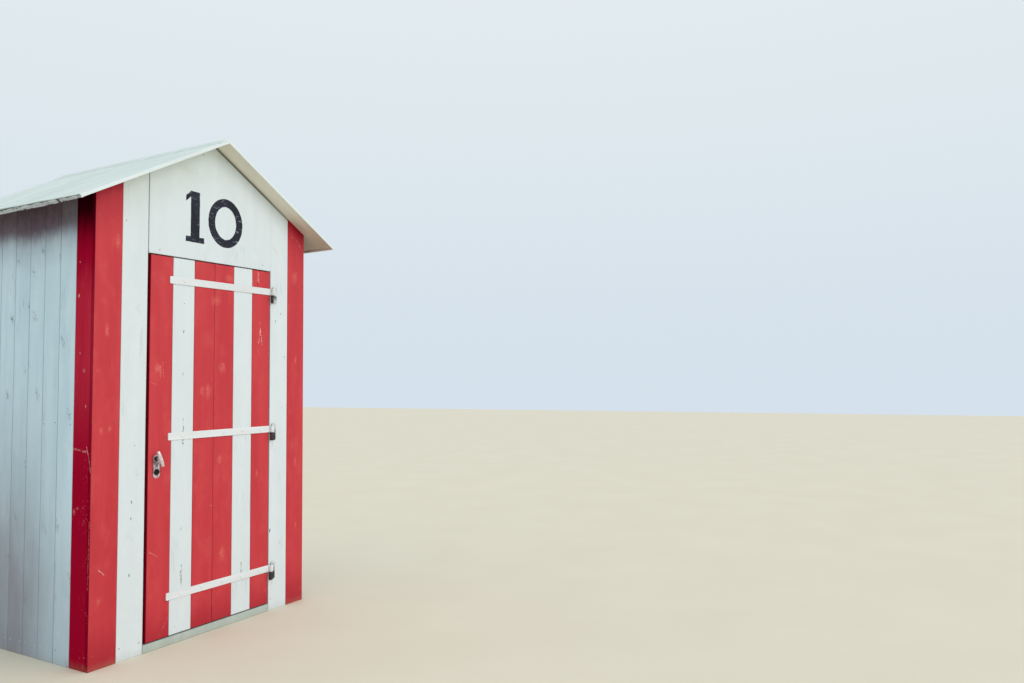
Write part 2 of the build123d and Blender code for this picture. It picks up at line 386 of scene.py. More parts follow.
def mark(obj, across=(1, 0, 0), along=(0, 0, 1)):
    """Stores each point's place in its own timber, how near an edge it is, and the timber's own tone."""
    mesh = obj.data
    shape = bmesh.new()
    shape.from_mesh(mesh)
    soft, sharp = radians(12), radians(28)
    bends = [max((edge.calc_face_angle(0) for edge in vert.link_edges), default=0) for vert in shape.verts]
    shape.free()
    worn = [min(1, max(0, (bend - soft) / (sharp - soft))) for bend in bends]
    along = Vector(along).normalized()
    across = Vector(across).normalized()
    depth = along.cross(across)
    start = Vector([luck.uniform(0, 40) for _ in range(3)])
    places = [(v.co @ across, v.co @ depth, v.co @ along) for v in mesh.vertices]
    grain = np.array([Vector(place) + start for place in places], np.float32)
    for name, kind in (("grain", "FLOAT_VECTOR"), ("worn", "FLOAT"), ("tone", "FLOAT")):
        mesh.attributes.new(name, kind, "POINT")
    mesh.attributes["grain"].data.foreach_set("vector", grain.ravel())
    mesh.attributes["worn"].data.foreach_set("value", worn)
    mesh.attributes["tone"].data.foreach_set("value", [luck.random()] * len(worn))
    return obj


def fit(name, pieces, material, body, slot, *nodes):
    """Joins pieces under a name, and gives them their finish and their place in the frame's bodies."""
    obj = join(name, pieces)
    if material is not None:
        obj.data.materials.clear()
        obj.data.materials.append(material)
    alone(obj)
    bpy.ops.object.shade_smooth_by_angle(angle=radians(32))
    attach(obj, body)
    if nodes:
        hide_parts(*nodes)
    return obj


# Node trees


def paint(red, green, blue):
    """A colour as a node takes it, from the 0 to 255 of a screen."""
    shares = [value / 255 for value in (red, green, blue)]
    light = [s / 12.92 if s <= 0.04045 else ((s + 0.055) / 1.055) ** 2.4 for s in shares]
    return (*light, 1.0)


PAINT_GLOSS = 0.22


class Nodes:
    """Adds nodes to one tree and returns their outputs."""

    def __init__(self, tree):
        self.tree = tree

    def add(self, kind, inputs=None, **settings):
        node = self.tree.nodes.new("ShaderNode" + kind)
        for name, value in settings.items():
            setattr(node, name, value)
        for key, value in (inputs or {}).items():
            if isinstance(value, bpy.types.NodeSocket):
                self.tree.links.new(value, node.inputs[key])
            else:
                node.inputs[key].default_value = value
        return node

    def maths(self, operation, a, b=0.0):
        return self.add("Math", {0: a, 1: b}, operation=operation).outputs[0]

    def plus(self, a, b):
        return self.maths("ADD", a, b)

    def minus(self, a, b):
        return self.maths("SUBTRACT", a, b)

    def times(self, a, b):
        return self.maths("MULTIPLY", a, b)

    def vector(self, operation, a, b=(0, 0, 0)):
        return self.add("VectorMath", {0: a, 1: b}, operation=operation).outputs[0]

    def length(self, a):
        return self.add("VectorMath", {0: a}, operation="LENGTH").outputs["Value"]

    def dot(self, a, b):
        return self.add("VectorMath", {0: a, 1: b}, operation="DOT_PRODUCT").outputs["Value"]

    def weighed(self, *parts):
        """The sum of some values, each by its share."""
        total = self.times(*parts[0])
        for part in parts[1:]:
            total = self.plus(total, self.times(*part))
        return total

    def noise(self, vector, scale, detail=3.0, roughness=0.55):
        inputs = {"Vector": vector, "Scale": scale, "Detail": detail, "Roughness": roughness}
        return self.add("TexNoise", inputs).outputs[0]

    def drawn_noise(self, vector, scale, detail=3.0, roughness=0.55):
        """Noise with a scale of its own along each axis."""
        drawn = self.add("Mapping", {"Vector": vector, "Scale": scale}).outputs[0]
        return self.noise(drawn, 1.0, detail, roughness)

    def between(self, value, low, high):
        """0 at low and 1 at high, with a soft step between them. Low may be above high."""
        inputs = {"Value": value, "From Min": low, "From Max": high}
        return self.add("MapRange", inputs, interpolation_type="SMOOTHSTEP").outputs[0]

    def ramp(self, value, low, high):
        """Stretches a 0 to 1 value to run from low to high."""
        return self.add("MapRange", {"Value": value, "To Min": low, "To Max": high}).outputs[0]

    def blend(self, share, a, b):
        return self.add("Mix", {0: share, 6: a, 7: b}, data_type="RGBA").outputs[2]

    def lay(self, colour, other, mask, share):
        """Lays another colour over the first where a mask is, by a share of it."""
        return self.blend(self.times(mask, share), colour, other)

    def split(self, vector):
        return self.add("SeparateXYZ", {0: vector}).outputs

    def use(self, group, **inputs):
        """Places a node group. An input's name is its socket's, in small letters."""
        given = {name.capitalize(): value for name, value in inputs.items()}
        return self.add("Group", given, node_tree=group).outputs


def node_group(name, outputs, **inputs):
    """Makes a node group of a function that is given nodes and inputs, and returns the outputs in order."""

    def build(fill):
        tree = bpy.data.node_groups.new(name, "ShaderNodeTree")
        for label, start in inputs.items():
            kind = "NodeSocketVector" if isinstance(start, tuple) else "NodeSocketFloat"
            socket = tree.interface.new_socket(label.capitalize(), in_out="INPUT", socket_type=kind)
            socket.default_value = start
        for label in outputs:
            tree.interface.new_socket(label, in_out="OUTPUT", socket_type="NodeSocketFloat")
        given = tree.nodes.new("NodeGroupInput").outputs
        result = tree.nodes.new("NodeGroupOutput").inputs
        values = fill(Nodes(tree), *(given[label.capitalize()] for label in inputs))
        for label, value in zip(outputs, values):
            tree.links.new(value, result[label])
        return tree

    return build


@node_group("Brush", ("Fine", "Broad", "Hair", "Cloud"), grain=(0, 0, 0))
def brush_marks(n, grain):
    """Marks that a brush leaves along a board, from hairs to whole strokes."""
    fine = n.drawn_noise(grain, (230, 90, 5), 4.0, 0.6)
    broad = n.drawn_noise(grain, (13, 13, 1.3), 3.0, 0.5)
    hair = n.drawn_noise(grain, (1100, 400, 14), 2.0)
    return fine, broad, hair, n.drawn_noise(grain, (11, 11, 6), 4.0, 0.6)


@node_group("Knots", ("Core", "Ring"), grain=(0, 0, 0), share=0.3)
def board_knots(n, grain, share):
    """Knots scattered over a board: their small hearts and the slanting smears round them."""
    across, _, along = n.split(grain)
    wander = n.times(n.noise(grain, 42.0, 3.0), 0.16)
    flat_x = n.plus(n.weighed((across, 7.0), (along, 2.4)), wander)
    flat_y = n.plus(n.times(along, 4.2), wander)
    flat = n.add("CombineXYZ", {0: flat_x, 1: flat_y}).outputs[0]
    cells = n.add("TexVoronoi", {"Vector": flat, "Scale": 1.0}, voronoi_dimensions="2D")
    distance = cells.outputs["Distance"]
    chance, amount, _ = n.split(cells.outputs["Color"])
    wanted = n.between(chance, share, n.minus(share, 0.02))
    size = n.plus(0.012, n.times(n.times(amount, amount), 0.050))
    mottle = n.drawn_noise(grain, (130, 130, 50), 4.0, 0.7)
    core = n.between(distance, size, n.times(size, 0.5))
    smear = n.times(n.between(distance, 0.20, 0.04), n.between(mottle, 0.47, 0.60))
    return n.times(core, wanted), n.times(smear, wanted)


@node_group("Checks", ("Mask",), grain=(0, 0, 0))
def drying_checks(n, grain):
    """Fine drying cracks along the grain, in patches."""
    off = n.maths("ABSOLUTE", n.minus(n.drawn_noise(grain, (46, 20, 0.9), 2.0), 0.5))
    patches = n.noise(grain, 3.2, 3.0)
    return [n.times(n.between(off, 0.010, 0.002), n.between(patches, 0.54, 0.62))]


@node_group("Flakes", ("Mask",), grain=(0, 0, 0), share=0.1)
def paint_flakes(n, grain, share):
    """Small ragged spots where paint has come off, in loose clusters."""
    spots = n.drawn_noise(grain, (105, 105, 62), 3.0, 0.6)
    low = n.minus(0.80, n.times(share, n.noise(grain, 7.0, 2.0)))
    return [n.between(spots, low, n.plus(low, 0.025))]


@node_group("Edge wear", ("Mask",), grain=(0, 0, 0), worn=0.0, amount=0.3)
def edge_wear(n, grain, worn, amount):
    """Paint rubbed off along the edges, in patches."""
    coarse = n.drawn_noise(grain, (90, 90, 16), 5.0, 0.72)
    low = n.minus(1.35, amount)
    return [n.between(n.plus(n.times(worn, 0.55), coarse), low, n.plus(low, 0.05))]


@node_group("Ground soil", ("Mask",), place=(0, 0, 0), reach=0.12)
def ground_soil(n, place, reach):
    """Dirt that rain throws up from the ground."""
    rough = n.drawn_noise(place, (22, 22, 12), 4.0, 0.65)
    return [n.between(n.split(place)[2], n.times(reach, n.times(rough, 2.0)), 0.0)]


@node_group("Smudge", ("Mask",), place=(0, 0, 0), centre=(0, 0, 0), size=(1, 1, 1))
def smudge(n, place, centre, size):
    """A mottled patch about one place on a wall."""
    offset = n.vector("DIVIDE", n.vector("SUBTRACT", place, centre), size)
    rough = n.drawn_noise(place, (60, 60, 30), 3.0, 0.6)
    mottle = n.drawn_noise(place, (240, 240, 110), 4.0, 0.7)
    reach = n.plus(n.length(offset), n.times(rough, 1.4))
    return [n.times(n.between(reach, 1.75, 0.75), n.between(mottle, 0.36, 0.60))]


@node_group("Scratch", ("Mask",), place=(0, 0, 0), start=(0, 0, 0), end=(0, 0, 1), width=0.002)
def scratch(n, place, start, end, width):
    """A thin, wandering, broken line between two places."""
    drift = n.add("TexNoise", {"Vector": place, "Scale": 38.0, "Detail": 2.0}).outputs["Color"]
    drift = n.vector("MULTIPLY", n.vector("SUBTRACT", drift, (0.5, 0.5, 0.5)), (0.012, 0.0, 0.012))
    run = n.vector("SUBTRACT", end, start)
    out = n.vector("SUBTRACT", n.vector("ADD", place, drift), start)
    share = n.add("Clamp", {0: n.maths("DIVIDE", n.dot(out, run), n.dot(run, run))}).outputs[0]
    nearest = n.add("VectorMath", {0: run, "Scale": share}, operation="SCALE").outputs[0]
    gap = n.length(n.vector("SUBTRACT", out, nearest))
    broken = n.between(n.noise(place, 130.0, 3.0), 0.34, 0.62)
    kept = n.times(width, n.times(broken, 1.5))
    return [n.between(gap, kept, n.times(kept, 0.3))]


@node_group("Fibres", ("Rings", "Fine"), grain=(0, 0, 0))
def wood_fibres(n, grain):
    """Growth rings and fibres of bare softwood."""
    bend = n.drawn_noise(grain, (9, 9, 1.1), 2.0)
    across, depth, _ = n.split(grain)
    phase = n.weighed((across, 520.0), (bend, 26.0), (depth, 300.0))
    rings = n.plus(n.times(n.maths("SINE", phase), 0.5), 0.5)
    return rings, n.drawn_noise(grain, (520, 520, 12), 3.0, 0.6)


@node_group("Rust", ("Mask", "Shade", "Pits"), place=(0, 0, 0), amount=0.5)
def rust_patches(n, place, amount):
    """Rust in patches, with its pits."""
    low = n.minus(0.85, n.times(amount, 0.7))
    mask = n.between(n.noise(place, 110.0, 5.0, 0.65), low, n.plus(low, 0.10))
    return mask, n.noise(place, 240.0, 4.0, 0.6), n.noise(place, 900.0, 3.0, 0.6)


# Finishes


class Finish(Nodes):
    """A material in the making: its nodes, its shader and the coordinates that its patterns use."""

    def __init__(self, name):
        self.material = bpy.data.materials.new(name)
        self.material.use_nodes = True
        super().__init__(self.material.node_tree)
        self.tree.nodes.clear()
        shader = self.add("BsdfPrincipled")
        self.add("OutputMaterial", {"Surface": shader.outputs[0]})
        self.inputs = shader.inputs
        self.place = self.add("TexCoord").outputs["Object"]
        self.grain = self.add("Attribute", attribute_name="grain").outputs["Vector"]
        self.worn = self.add("Attribute", attribute_name="worn").outputs["Fac"]
        self.tone = self.add("Attribute", attribute_name="tone").outputs["Fac"]

    def rubbed(self, amount):
        """Where paint is rubbed off along the edges."""
        return self.use(edge_wear, grain=self.grain, worn=self.worn, amount=amount)[0]

    def flaked(self, share):
        """Where paint has come off in small spots."""
        return self.use(paint_flakes, grain=self.grain, share=share)[0]

    def close(self, colour, roughness, height, depth=0.001, gloss=None):
        """Feeds the shader's colour, roughness and normal, and gives the finished material."""
        self.tree.links.new(colour, self.inputs["Base Color"])
        self.tree.links.new(roughness, self.inputs["Roughness"])
        bump = self.add("Bump", {"Height": height, "Strength": 1.0, "Distance": depth})
        self.tree.links.new(bump.outputs[0], self.inputs["Normal"])
        if gloss is not None:
            self.inputs["Specular IOR Level"].default_value = gloss
        return self.material


def on_front(across, up, depth=FRONT):
    return (across, depth, up)


def on_left(across, up, depth=LEFT):
    return (depth, across, up)


def add_marks(n, colour, marks, on=on_front):
    """Lays placed smudges and scratches over a colour, on the plane of one wall."""
    for kind, shade, strength, first, second, *width in marks:
        if kind == "smudge":
            mask = n.use(smudge, place=n.place, centre=on(*first), size=on(*second, depth=0.3))[0]
        else:
            mask = n.use(scratch, place=n.place, start=on(*first), end=on(*second), width=width[0])[0]
        colour = n.lay(colour, shade, mask, strength)
    return colour


def board_paint(
    name, base, deep, light, knot, chip, seam, seams=0.4, knots=0.3, knot_strength=0.5, wear=0.2,
    flakes=0.03, streaks=0.3, gloss=PAINT_GLOSS, marks=(), extra=None,
):
    """Brushed oil paint on sawn boards: knots showing through, dark seams, edges rubbed."""
    n = Finish(name)
    brush = n.use(brush_marks, grain=n.grain)
    knot_masks = n.use(board_knots, grain=n.grain, share=knots)
    checks = n.use(drying_checks, grain=n.grain)[0]
    colour = n.blend(n.between(brush["Broad"], 0.30, 0.75), deep, base)
    colour = n.lay(colour, light, n.between(brush["Fine"], 0.50, 0.78), streaks)
    colour = n.lay(colour, light, n.between(brush["Cloud"], 0.48, 0.72), 0.40)
    colour = n.lay(colour, deep, n.tone, 0.30)
    colour = n.lay(colour, knot, knot_masks["Ring"], knot_strength * 0.7)
    colour = n.lay(colour, knot, knot_masks["Core"], knot_strength)
    colour = n.lay(colour, knot, checks, 0.30)
    # Darker along the eased edges: dirt in the joints, and a painted shade in the gaps between boards.
    colour = n.lay(colour, seam, n.between(n.worn, 0.35, 0.95), seams)
    bare = n.maths("MAXIMUM", n.rubbed(wear), n.flaked(flakes))
    colour = n.lay(colour, chip, bare, 0.75)
    colour = add_marks(n, colour, marks)
    if extra is not None:
        colour = extra(n, colour)
    soil = n.use(ground_soil, place=n.place, reach=0.05)[0]
    colour = n.lay(colour, GROUND_DIRT, soil, 0.18)
    height = n.weighed((brush["Fine"], 0.25), (brush["Broad"], 0.4), (brush["Hair"], 0.10),
                       (bare, -0.25), (knot_masks["Core"], -0.3), (checks, -0.35))
    return n.close(colour, n.ramp(brush["Broad"], 0.46, 0.62), height, gloss=gloss)


GROUND_DIRT = paint(158, 143, 112)
SCUFF = paint(226, 128, 110)
PALE_SCRATCH = paint(232, 180, 172)
RED_DARK = paint(140, 24, 32)
NAIL_STAIN = paint(92, 78, 70)
GREY_STREAK = paint(150, 156, 150)
RUST_RUN = paint(168, 140, 116)
STRAP_SHADE = paint(124, 24, 36)
STRAP_SHADOW_GREY = paint(156, 164, 164)
CREVICE_SHADE = paint(84, 76, 58)
SOFFIT_SHADE_WHITE = paint(186, 200, 192)
EAVE_SOOT_AND_SHADE = paint(80, 53, 70)
EAVE_DAMP_AND_SHADE = paint(98, 79, 95)
LOW_SHADE_AND_GRIME = paint(145, 147, 159)
SHADED_CRIMSON = paint(150, 2, 34)
CORNER_EAVE_SHADE = paint(26, 0, 6)
CORNER_LOW_SHADE = paint(162, 10, 44)
CORNER_JOINT = paint(96, 0, 26)
PINK_CHIP = paint(226, 150, 158)
DARK_SEAM = paint(112, 16, 36)
EDGE_FIBRE = paint(128, 126, 124)
LOCK_DARK_PATCH = paint(44, 38, 46)


def strap_shadow_lines(shade, strength):
    """A painted shadow line on the boards along the lower edge of each strap."""
    return tuple(
        ("scratch", shade, strength, (low.x, low.z - 0.0015), (DOOR_HIGH.x, low.z - 0.0015), 0.0040)
        for low, _ in STRAPS
    )


# Each scuff has its strength, middle and half sizes, and each scratch its strength, ends and width
RED_SCUFFS = (
    (0.68, (-0.364, 1.484), (0.024, 0.034)),
    (0.61, (-0.345, 1.470), (0.010, 0.050)),
    (0.61, (-0.034, 1.355), (0.024, 0.060)),
    (0.54, (-0.074, 1.360), (0.018, 0.040)),
    (0.61, (0.069, 1.488), (0.034, 0.040)),
    (0.54, (0.053, 0.961), (0.024, 0.030)),
    (0.61, (0.077, 0.422), (0.028, 0.055)),
    (0.74, (0.334, 0.850), (0.012, 0.030)),
    (0.61, (0.655, 1.548), (0.014, 0.036)),
    (0.54, (0.653, 0.896), (0.016, 0.040)),
    (0.54, (0.664, 0.487), (0.014, 0.034)),
    (0.68, (-0.652, 1.673), (0.014, 0.044)),
    (0.61, (-0.629, 1.177), (0.018, 0.020)),
    (0.54, (-0.674, 1.167), (0.014, 0.024)),
    (0.61, (-0.675, 0.329), (0.017, 0.024)),
    (0.47, (0.640, 2.080), (0.030, 0.050)),
    (0.54, (-0.600, 2.130), (0.014, 0.060)),
    (0.41, (0.110, 2.020), (0.040, 0.030)),
    (0.47, (0.020, 1.880), (0.045, 0.035)),
)
RED_SCRATCHES = (
    (0.6, (-0.329, 1.520), (-0.323, 1.440), 0.0030),
    (0.4, (-0.408, 1.409), (-0.358, 1.391), 0.0030),
    (0.7, (0.352, 1.780), (0.355, 1.690), 0.0030),
    (0.8, (0.354, 1.730), (0.366, 1.640), 0.0034),
    (0.8, (0.353, 1.730), (0.342, 1.645), 0.0034),
    (0.8, (0.334, 2.080), (0.339, 2.020), 0.0034),
    (0.8, (0.333, 2.075), (0.323, 2.018), 0.0034),
    (0.8, (-0.678, 0.487), (-0.649, 0.455), 0.0028),
    (0.5, (-0.403, 0.523), (-0.343, 0.481), 0.0034),
    (0.6, (-0.277, 0.148), (-0.326, 0.074), 0.0030),
    (0.4, (-0.290, 0.150), (-0.312, 0.100), 0.0024),
    (0.3, (-0.049, 0.752), (-0.104, 0.686), 0.0030),
    (0.4, (-0.012, 0.703), (0.008, 0.704), 0.0030),
    (0.4, (0.610, 2.345), (0.660, 2.330), 0.0030),
    (0.4, (0.660, 2.330), (0.700, 2.275), 0.0030),
)
RED_SPLITS = (
    (1.0, (0.331, 2.014), (0.330, 2.002), 0.0050),
    (1.0, (0.353, 1.686), (0.354, 1.672), 0.0050),
    (0.9, (0.0075, 0.566), (0.0080, 0.290), 0.0020),
    (1.0, (0.0080, 0.300), (0.0075, 0.060), 0.0036),
)
RED_MARKS = (
    *strap_shadow_lines(STRAP_SHADE, 0.65),
    *(("smudge", SCUFF, *row) for row in RED_SCUFFS),
    *(("scratch", PALE_SCRATCH, *row) for row in RED_SCRATCHES),
    *(("scratch", RED_DARK, *row) for row in RED_SPLITS),
)
WHITE_SPOTS = (
    (-0.202, 1.688, 0.0050), (-0.201, 1.451, 0.0045), (-0.199, 1.845, 0.0040), (-0.203, 0.606, 0.0045),
    (-0.235, 0.090, 0.0045), (-0.195, 0.058, 0.0040), (-0.501, 0.792, 0.0045), (-0.504, 0.709, 0.0035),
    (-0.510, 0.421, 0.0050), (-0.491, 1.079, 0.0035), (0.445, 0.487, 0.0075), (0.559, 1.562, 0.0040),
    (0.541, 1.247, 0.0035), (0.479, 1.788, 0.0040), (0.521, 1.839, 0.0035), (0.084, 2.707, 0.0060),
    (-0.085, 2.710, 0.0050), (0.221, 0.300, 0.0045),
)
WHITE_MARKS = strap_shadow_lines(STRAP_SHADOW_GREY, 0.45) + tuple(
    ("scratch", NAIL_STAIN, 0.95, (x, z + size), (x, z - size), size * 0.8) for x, z, size in WHITE_SPOTS
) + (
    ("scratch", NAIL_STAIN, 0.9, (-0.198, 1.210), (-0.196, 1.075), 0.0045),
    ("scratch", GREY_STREAK, 0.7, (-0.201, 1.120), (-0.198, 1.060), 0.0060),
    ("scratch", NAIL_STAIN, 0.8, (-0.197, 0.410), (-0.198, 0.300), 0.0045),
    ("scratch", GREY_STREAK, 0.7, (-0.204, 0.380), (-0.200, 0.320), 0.0070),
    ("scratch", GREY_STREAK, 0.8, (0.219, 0.340), (0.219, 0.262), 0.0060),
    ("smudge", RUST_RUN, 0.25, (0.458, 0.165), (0.012, 0.045)),
    ("smudge", RUST_RUN, 0.25, (0.458, 1.020), (0.012, 0.040)),
    ("smudge", RUST_RUN, 0.20, (0.458, 1.870), (0.010, 0.040)),
)
PEAK_MARKS = (
    ("smudge", paint(170, 172, 150), 0.30, (-0.19, 2.60), (0.09, 0.05)),
    ("smudge", paint(180, 178, 158), 0.30, (0.02, 2.72), (0.09, 0.03)),
)
CORNER_SCRATCHES = (
    (0.35, (-0.531, 1.078), (-0.640, 1.067), 0.0060),
    (0.60, (-0.641, 1.091), (-0.660, 1.038), 0.0028),
    (0.60, (-0.660, 1.038), (-0.677, 0.965), 0.0028),
    (0.30, (-0.674, 0.730), (-0.668, 0.395), 0.0026),
)
CORNER_SPOTS = (
    (0.45, (-0.550, 0.766), (0.014, 0.024)),
    (0.45, (-0.575, 0.785), (0.014, 0.010)),
    (0.55, (-0.609, 1.467), (0.012, 0.014)),
)
CORNER_CHIPS = (
    (0.80, (-0.556, 1.850), (-0.556, 1.842), 0.0060),
    (0.60, (-0.628, 1.292), (-0.628, 1.284), 0.0050),
    (0.60, (-0.573, 1.560), (-0.573, 1.555), 0.0045),
    (0.50, (-0.560, 2.020), (-0.560, 2.014), 0.0045),
)
CORNER_MARKS = (
    *(("scratch", PALE_SCRATCH, *row) for row in CORNER_SCRATCHES),
    *(("smudge", PALE_SCRATCH, *row) for row in CORNER_SPOTS),
    *(("scratch", PALE_SCRATCH, *row) for row in CORNER_CHIPS),
)


def eave_stain_and_shade(n, colour):
    """The dark band under each eave, fading downward: soot and damp stains with a painted shade of the
    overhang; lower down, and most toward the rear, a painted shade with some grime.
    """
    x, y, z = n.split(n.place)
    outside = n.between(n.maths("ABSOLUTE", x), 0.70, 0.72)
    line = n.drawn_noise(n.place, (0, 3.0, 0), 2.0)
    drips = n.drawn_noise(n.place, (0, 46.0, 1.6), 4.0, 0.6)
    mottle = n.drawn_noise(n.place, (0, 22.0, 14.0), 4.0, 0.65)
    level = n.plus(z, n.ramp(line, -0.04, 0.04))
    level = n.plus(level, n.ramp(drips, -0.014, 0.014))
    level = n.plus(level, n.ramp(mottle, -0.03, 0.03))
    soft = n.times(n.between(level, 1.98, 2.26), 0.50)
    hard = n.times(n.between(level, 2.13, 2.23), 0.50)
    band = n.times(n.plus(soft, hard), n.ramp(mottle, 0.90, 1.02))
    band = n.times(band, n.ramp(n.tone, 0.96, 1.0))
    band = n.times(band, n.ramp(n.between(y, -0.34, -0.53), 1.0, 0.95))
    # Painted shade under the eave, mixed with soot and damp stains.
    soot_and_shade = n.blend(n.between(mottle, 0.40, 0.62), EAVE_SOOT_AND_SHADE, EAVE_DAMP_AND_SHADE)
    colour = n.lay(colour, soot_and_shade, band, outside)
    # Darker toward the foot, most of all toward the low rear: painted shade, with some grime.
    low = n.times(n.between(z, 1.0, 0.2), 0.28)
    patchy = n.times(n.ramp(n.drawn_noise(n.place, (9, 9, 4), 4.0, 0.6), 0.6, 1.3),
                     n.ramp(n.tone, 0.75, 1.05))
    rear = n.times(n.between(y, -0.60, 0.20), n.between(z, 1.6, 0.30))
    rear = n.times(rear, n.ramp(n.between(y, 0.60, 0.15), 0.22, 1.0))
    low_shade_and_grime = n.plus(low, n.times(rear, patchy))
    return n.blend(low_shade_and_grime, colour, LOW_SHADE_AND_GRIME)


def red_painted_shade(n, colour):
    """Painted shade in a deeper crimson: under the soffit, at the foot, and low on the left board's outer
    part.
    """
    x, _, z = n.split(n.place)
    under = n.minus(RIDGE, n.times(n.maths("ABSOLUTE", x), SLOPE))
    under = n.minus(under, z)
    rough = n.drawn_noise(n.place, (14, 14, 5), 3.0)
    under = n.plus(under, n.ramp(rough, -0.03, 0.03))
    # Painted shade under the soffit.
    soft = n.times(n.between(under, 0.30, -0.02), 0.60)
    near = n.times(n.between(under, 0.07, 0.0), 0.40)
    colour = n.blend(n.plus(soft, near), colour, SHADED_CRIMSON)
    # Painted shade at the foot, and low on the outer part of the left red board.
    colour = n.lay(colour, SHADED_CRIMSON, n.between(z, 0.26, 0.0), 0.60)
    outer_shade = n.times(n.between(x, -0.50, -0.60), n.between(z, 1.2, 0.3))
    return n.lay(colour, SHADED_CRIMSON, outer_shade, 0.14)


def corner_shade_and_wear(n, colour):
    """Painted shade on the corner boards, near black under the eave and a deeper red below it and toward the
    foot; a dark joint, scrapes, and flakes off their front edge.
    """
    _, y, z = n.split(n.place)
    rough = n.drawn_noise(n.place, (30, 30, 3), 3.0)
    level = n.minus(z, n.ramp(rough, -0.05, 0.05))
    # Painted shade: a deeper red toward the foot and just under the eave, near black right under it.
    colour = n.blend(n.between(level, 1.62, 0.90), colour, CORNER_LOW_SHADE)
    colour = n.blend(n.between(level, 1.80, 2.06), colour, CORNER_LOW_SHADE)
    colour = n.lay(colour, CORNER_EAVE_SHADE, n.between(level, 2.04, 2.30), 0.95)
    joint = n.between(y, STRIPE_BACK + 0.001, STRIPE_BACK - 0.001)
    colour = n.lay(colour, CORNER_JOINT, joint, 0.45)
    near_edge = n.times(n.between(y, -0.57, -0.66), n.between(z, 1.5, 0.5))
    spots = n.times(n.flaked(0.26), near_edge)
    colour = n.lay(colour, PINK_CHIP, spots, 0.55)
    return add_marks(n, colour, CORNER_MARKS, on_left)


def panel_shade_and_stains(n, colour):
    """Painted shade under the soffit left of the peak, damp patches at the peak, and a painted shade line in
    the gap under the right slope.
    """
    x, _, z = n.split(n.place)
    below = n.minus(RIDGE, n.plus(n.times(n.maths("ABSOLUTE", x), SLOPE), z))
    # Painted shade under the soffit.
    soffit_shade = n.times(n.between(below, 0.30, 0.0), n.between(x, 0.20, 0.02))
    colour = n.lay(colour, SOFFIT_SHADE_WHITE, soffit_shade, 0.45)
    # Painted shade in the gap between the panel's top edge and the right soffit.
    under = n.minus(RIDGE, n.plus(n.times(x, SLOPE), z))
    gap_shade = n.times(n.between(under, PANEL_GAP + 0.004, PANEL_GAP - 0.002), n.between(x, 0.0, 0.02))
    colour = n.lay(colour, CREVICE_SHADE, gap_shade, 0.50)
    return add_marks(n, colour, PEAK_MARKS)


def bare_timber(name, pale, dark, knot, gloss=0.3):
    """Sawn softwood that was never painted."""
    n = Finish(name)
    fibres = n.use(wood_fibres, grain=n.grain)
    knots = n.use(board_knots, grain=n.grain, share=0.35)
    colour = n.lay(pale, dark, fibres["Rings"], 0.55)
    colour = n.lay(colour, dark, fibres["Fine"], 0.35)
    colour = n.lay(colour, dark, n.tone, 0.4)
    colour = n.lay(colour, knot, knots["Ring"], 0.35)
    colour = n.lay(colour, knot, knots["Core"], 0.85)
    height = n.weighed((fibres["Rings"], 0.25), (fibres["Fine"], 0.5))
    return n.close(colour, n.ramp(fibres["Fine"], 0.65, 0.85), height, gloss=gloss)


timber = bare_timber("timber", paint(186, 154, 112), paint(146, 112, 74), paint(90, 60, 38))
# Dark crimson for the door's edge seen in its gap: painted shade.
shaded_gap_edge = bare_timber("shaded_gap_edge", paint(150, 14, 38), paint(112, 6, 26), paint(50, 4, 12), gloss=0.0)
red_paint = board_paint(
    "red_paint", paint(201, 60, 66), paint(191, 48, 57), paint(212, 80, 80), paint(214, 98, 86),
    paint(222, 138, 128), DARK_SEAM, seams=0.55, knots=0.22, knot_strength=0.30, wear=0.04, flakes=0.05,
    streaks=0.16, marks=RED_MARKS, extra=red_painted_shade,
)
corner_paint = board_paint(
    "corner_paint", paint(198, 48, 70), paint(186, 36, 60), paint(208, 62, 84), paint(205, 76, 90),
    paint(222, 130, 136), paint(120, 0, 30), seams=0.35, knots=0.12, knot_strength=0.22, wear=0.05,
    flakes=0.06, streaks=0.12, gloss=0.0, extra=corner_shade_and_wear,
)
white_paint = board_paint(
    "white_paint", paint(218, 226, 229), paint(212, 221, 224), paint(224, 231, 233), paint(150, 158, 154),
    paint(148, 140, 128), paint(150, 154, 154), seams=0.30, knots=0.16, knot_strength=0.28, wear=0.06,
    flakes=0.03, streaks=0.16, marks=WHITE_MARKS, extra=panel_shade_and_stains,
)
blue_paint = board_paint(
    "blue_paint", paint(210, 233, 245), paint(194, 219, 233), paint(221, 240, 248), paint(84, 102, 116),
    paint(150, 152, 150), paint(112, 128, 140), seams=0.34, knots=0.58, knot_strength=0.80, wear=0.08,
    flakes=0.05, streaks=0.22, extra=eave_stain_and_shade,
)
sill_paint = board_paint(
    "sill_paint", paint(186, 197, 192), paint(172, 183, 177), paint(204, 213, 209), paint(120, 120, 104),
    paint(140, 128, 108), paint(110, 112, 100), wear=0.32,
)


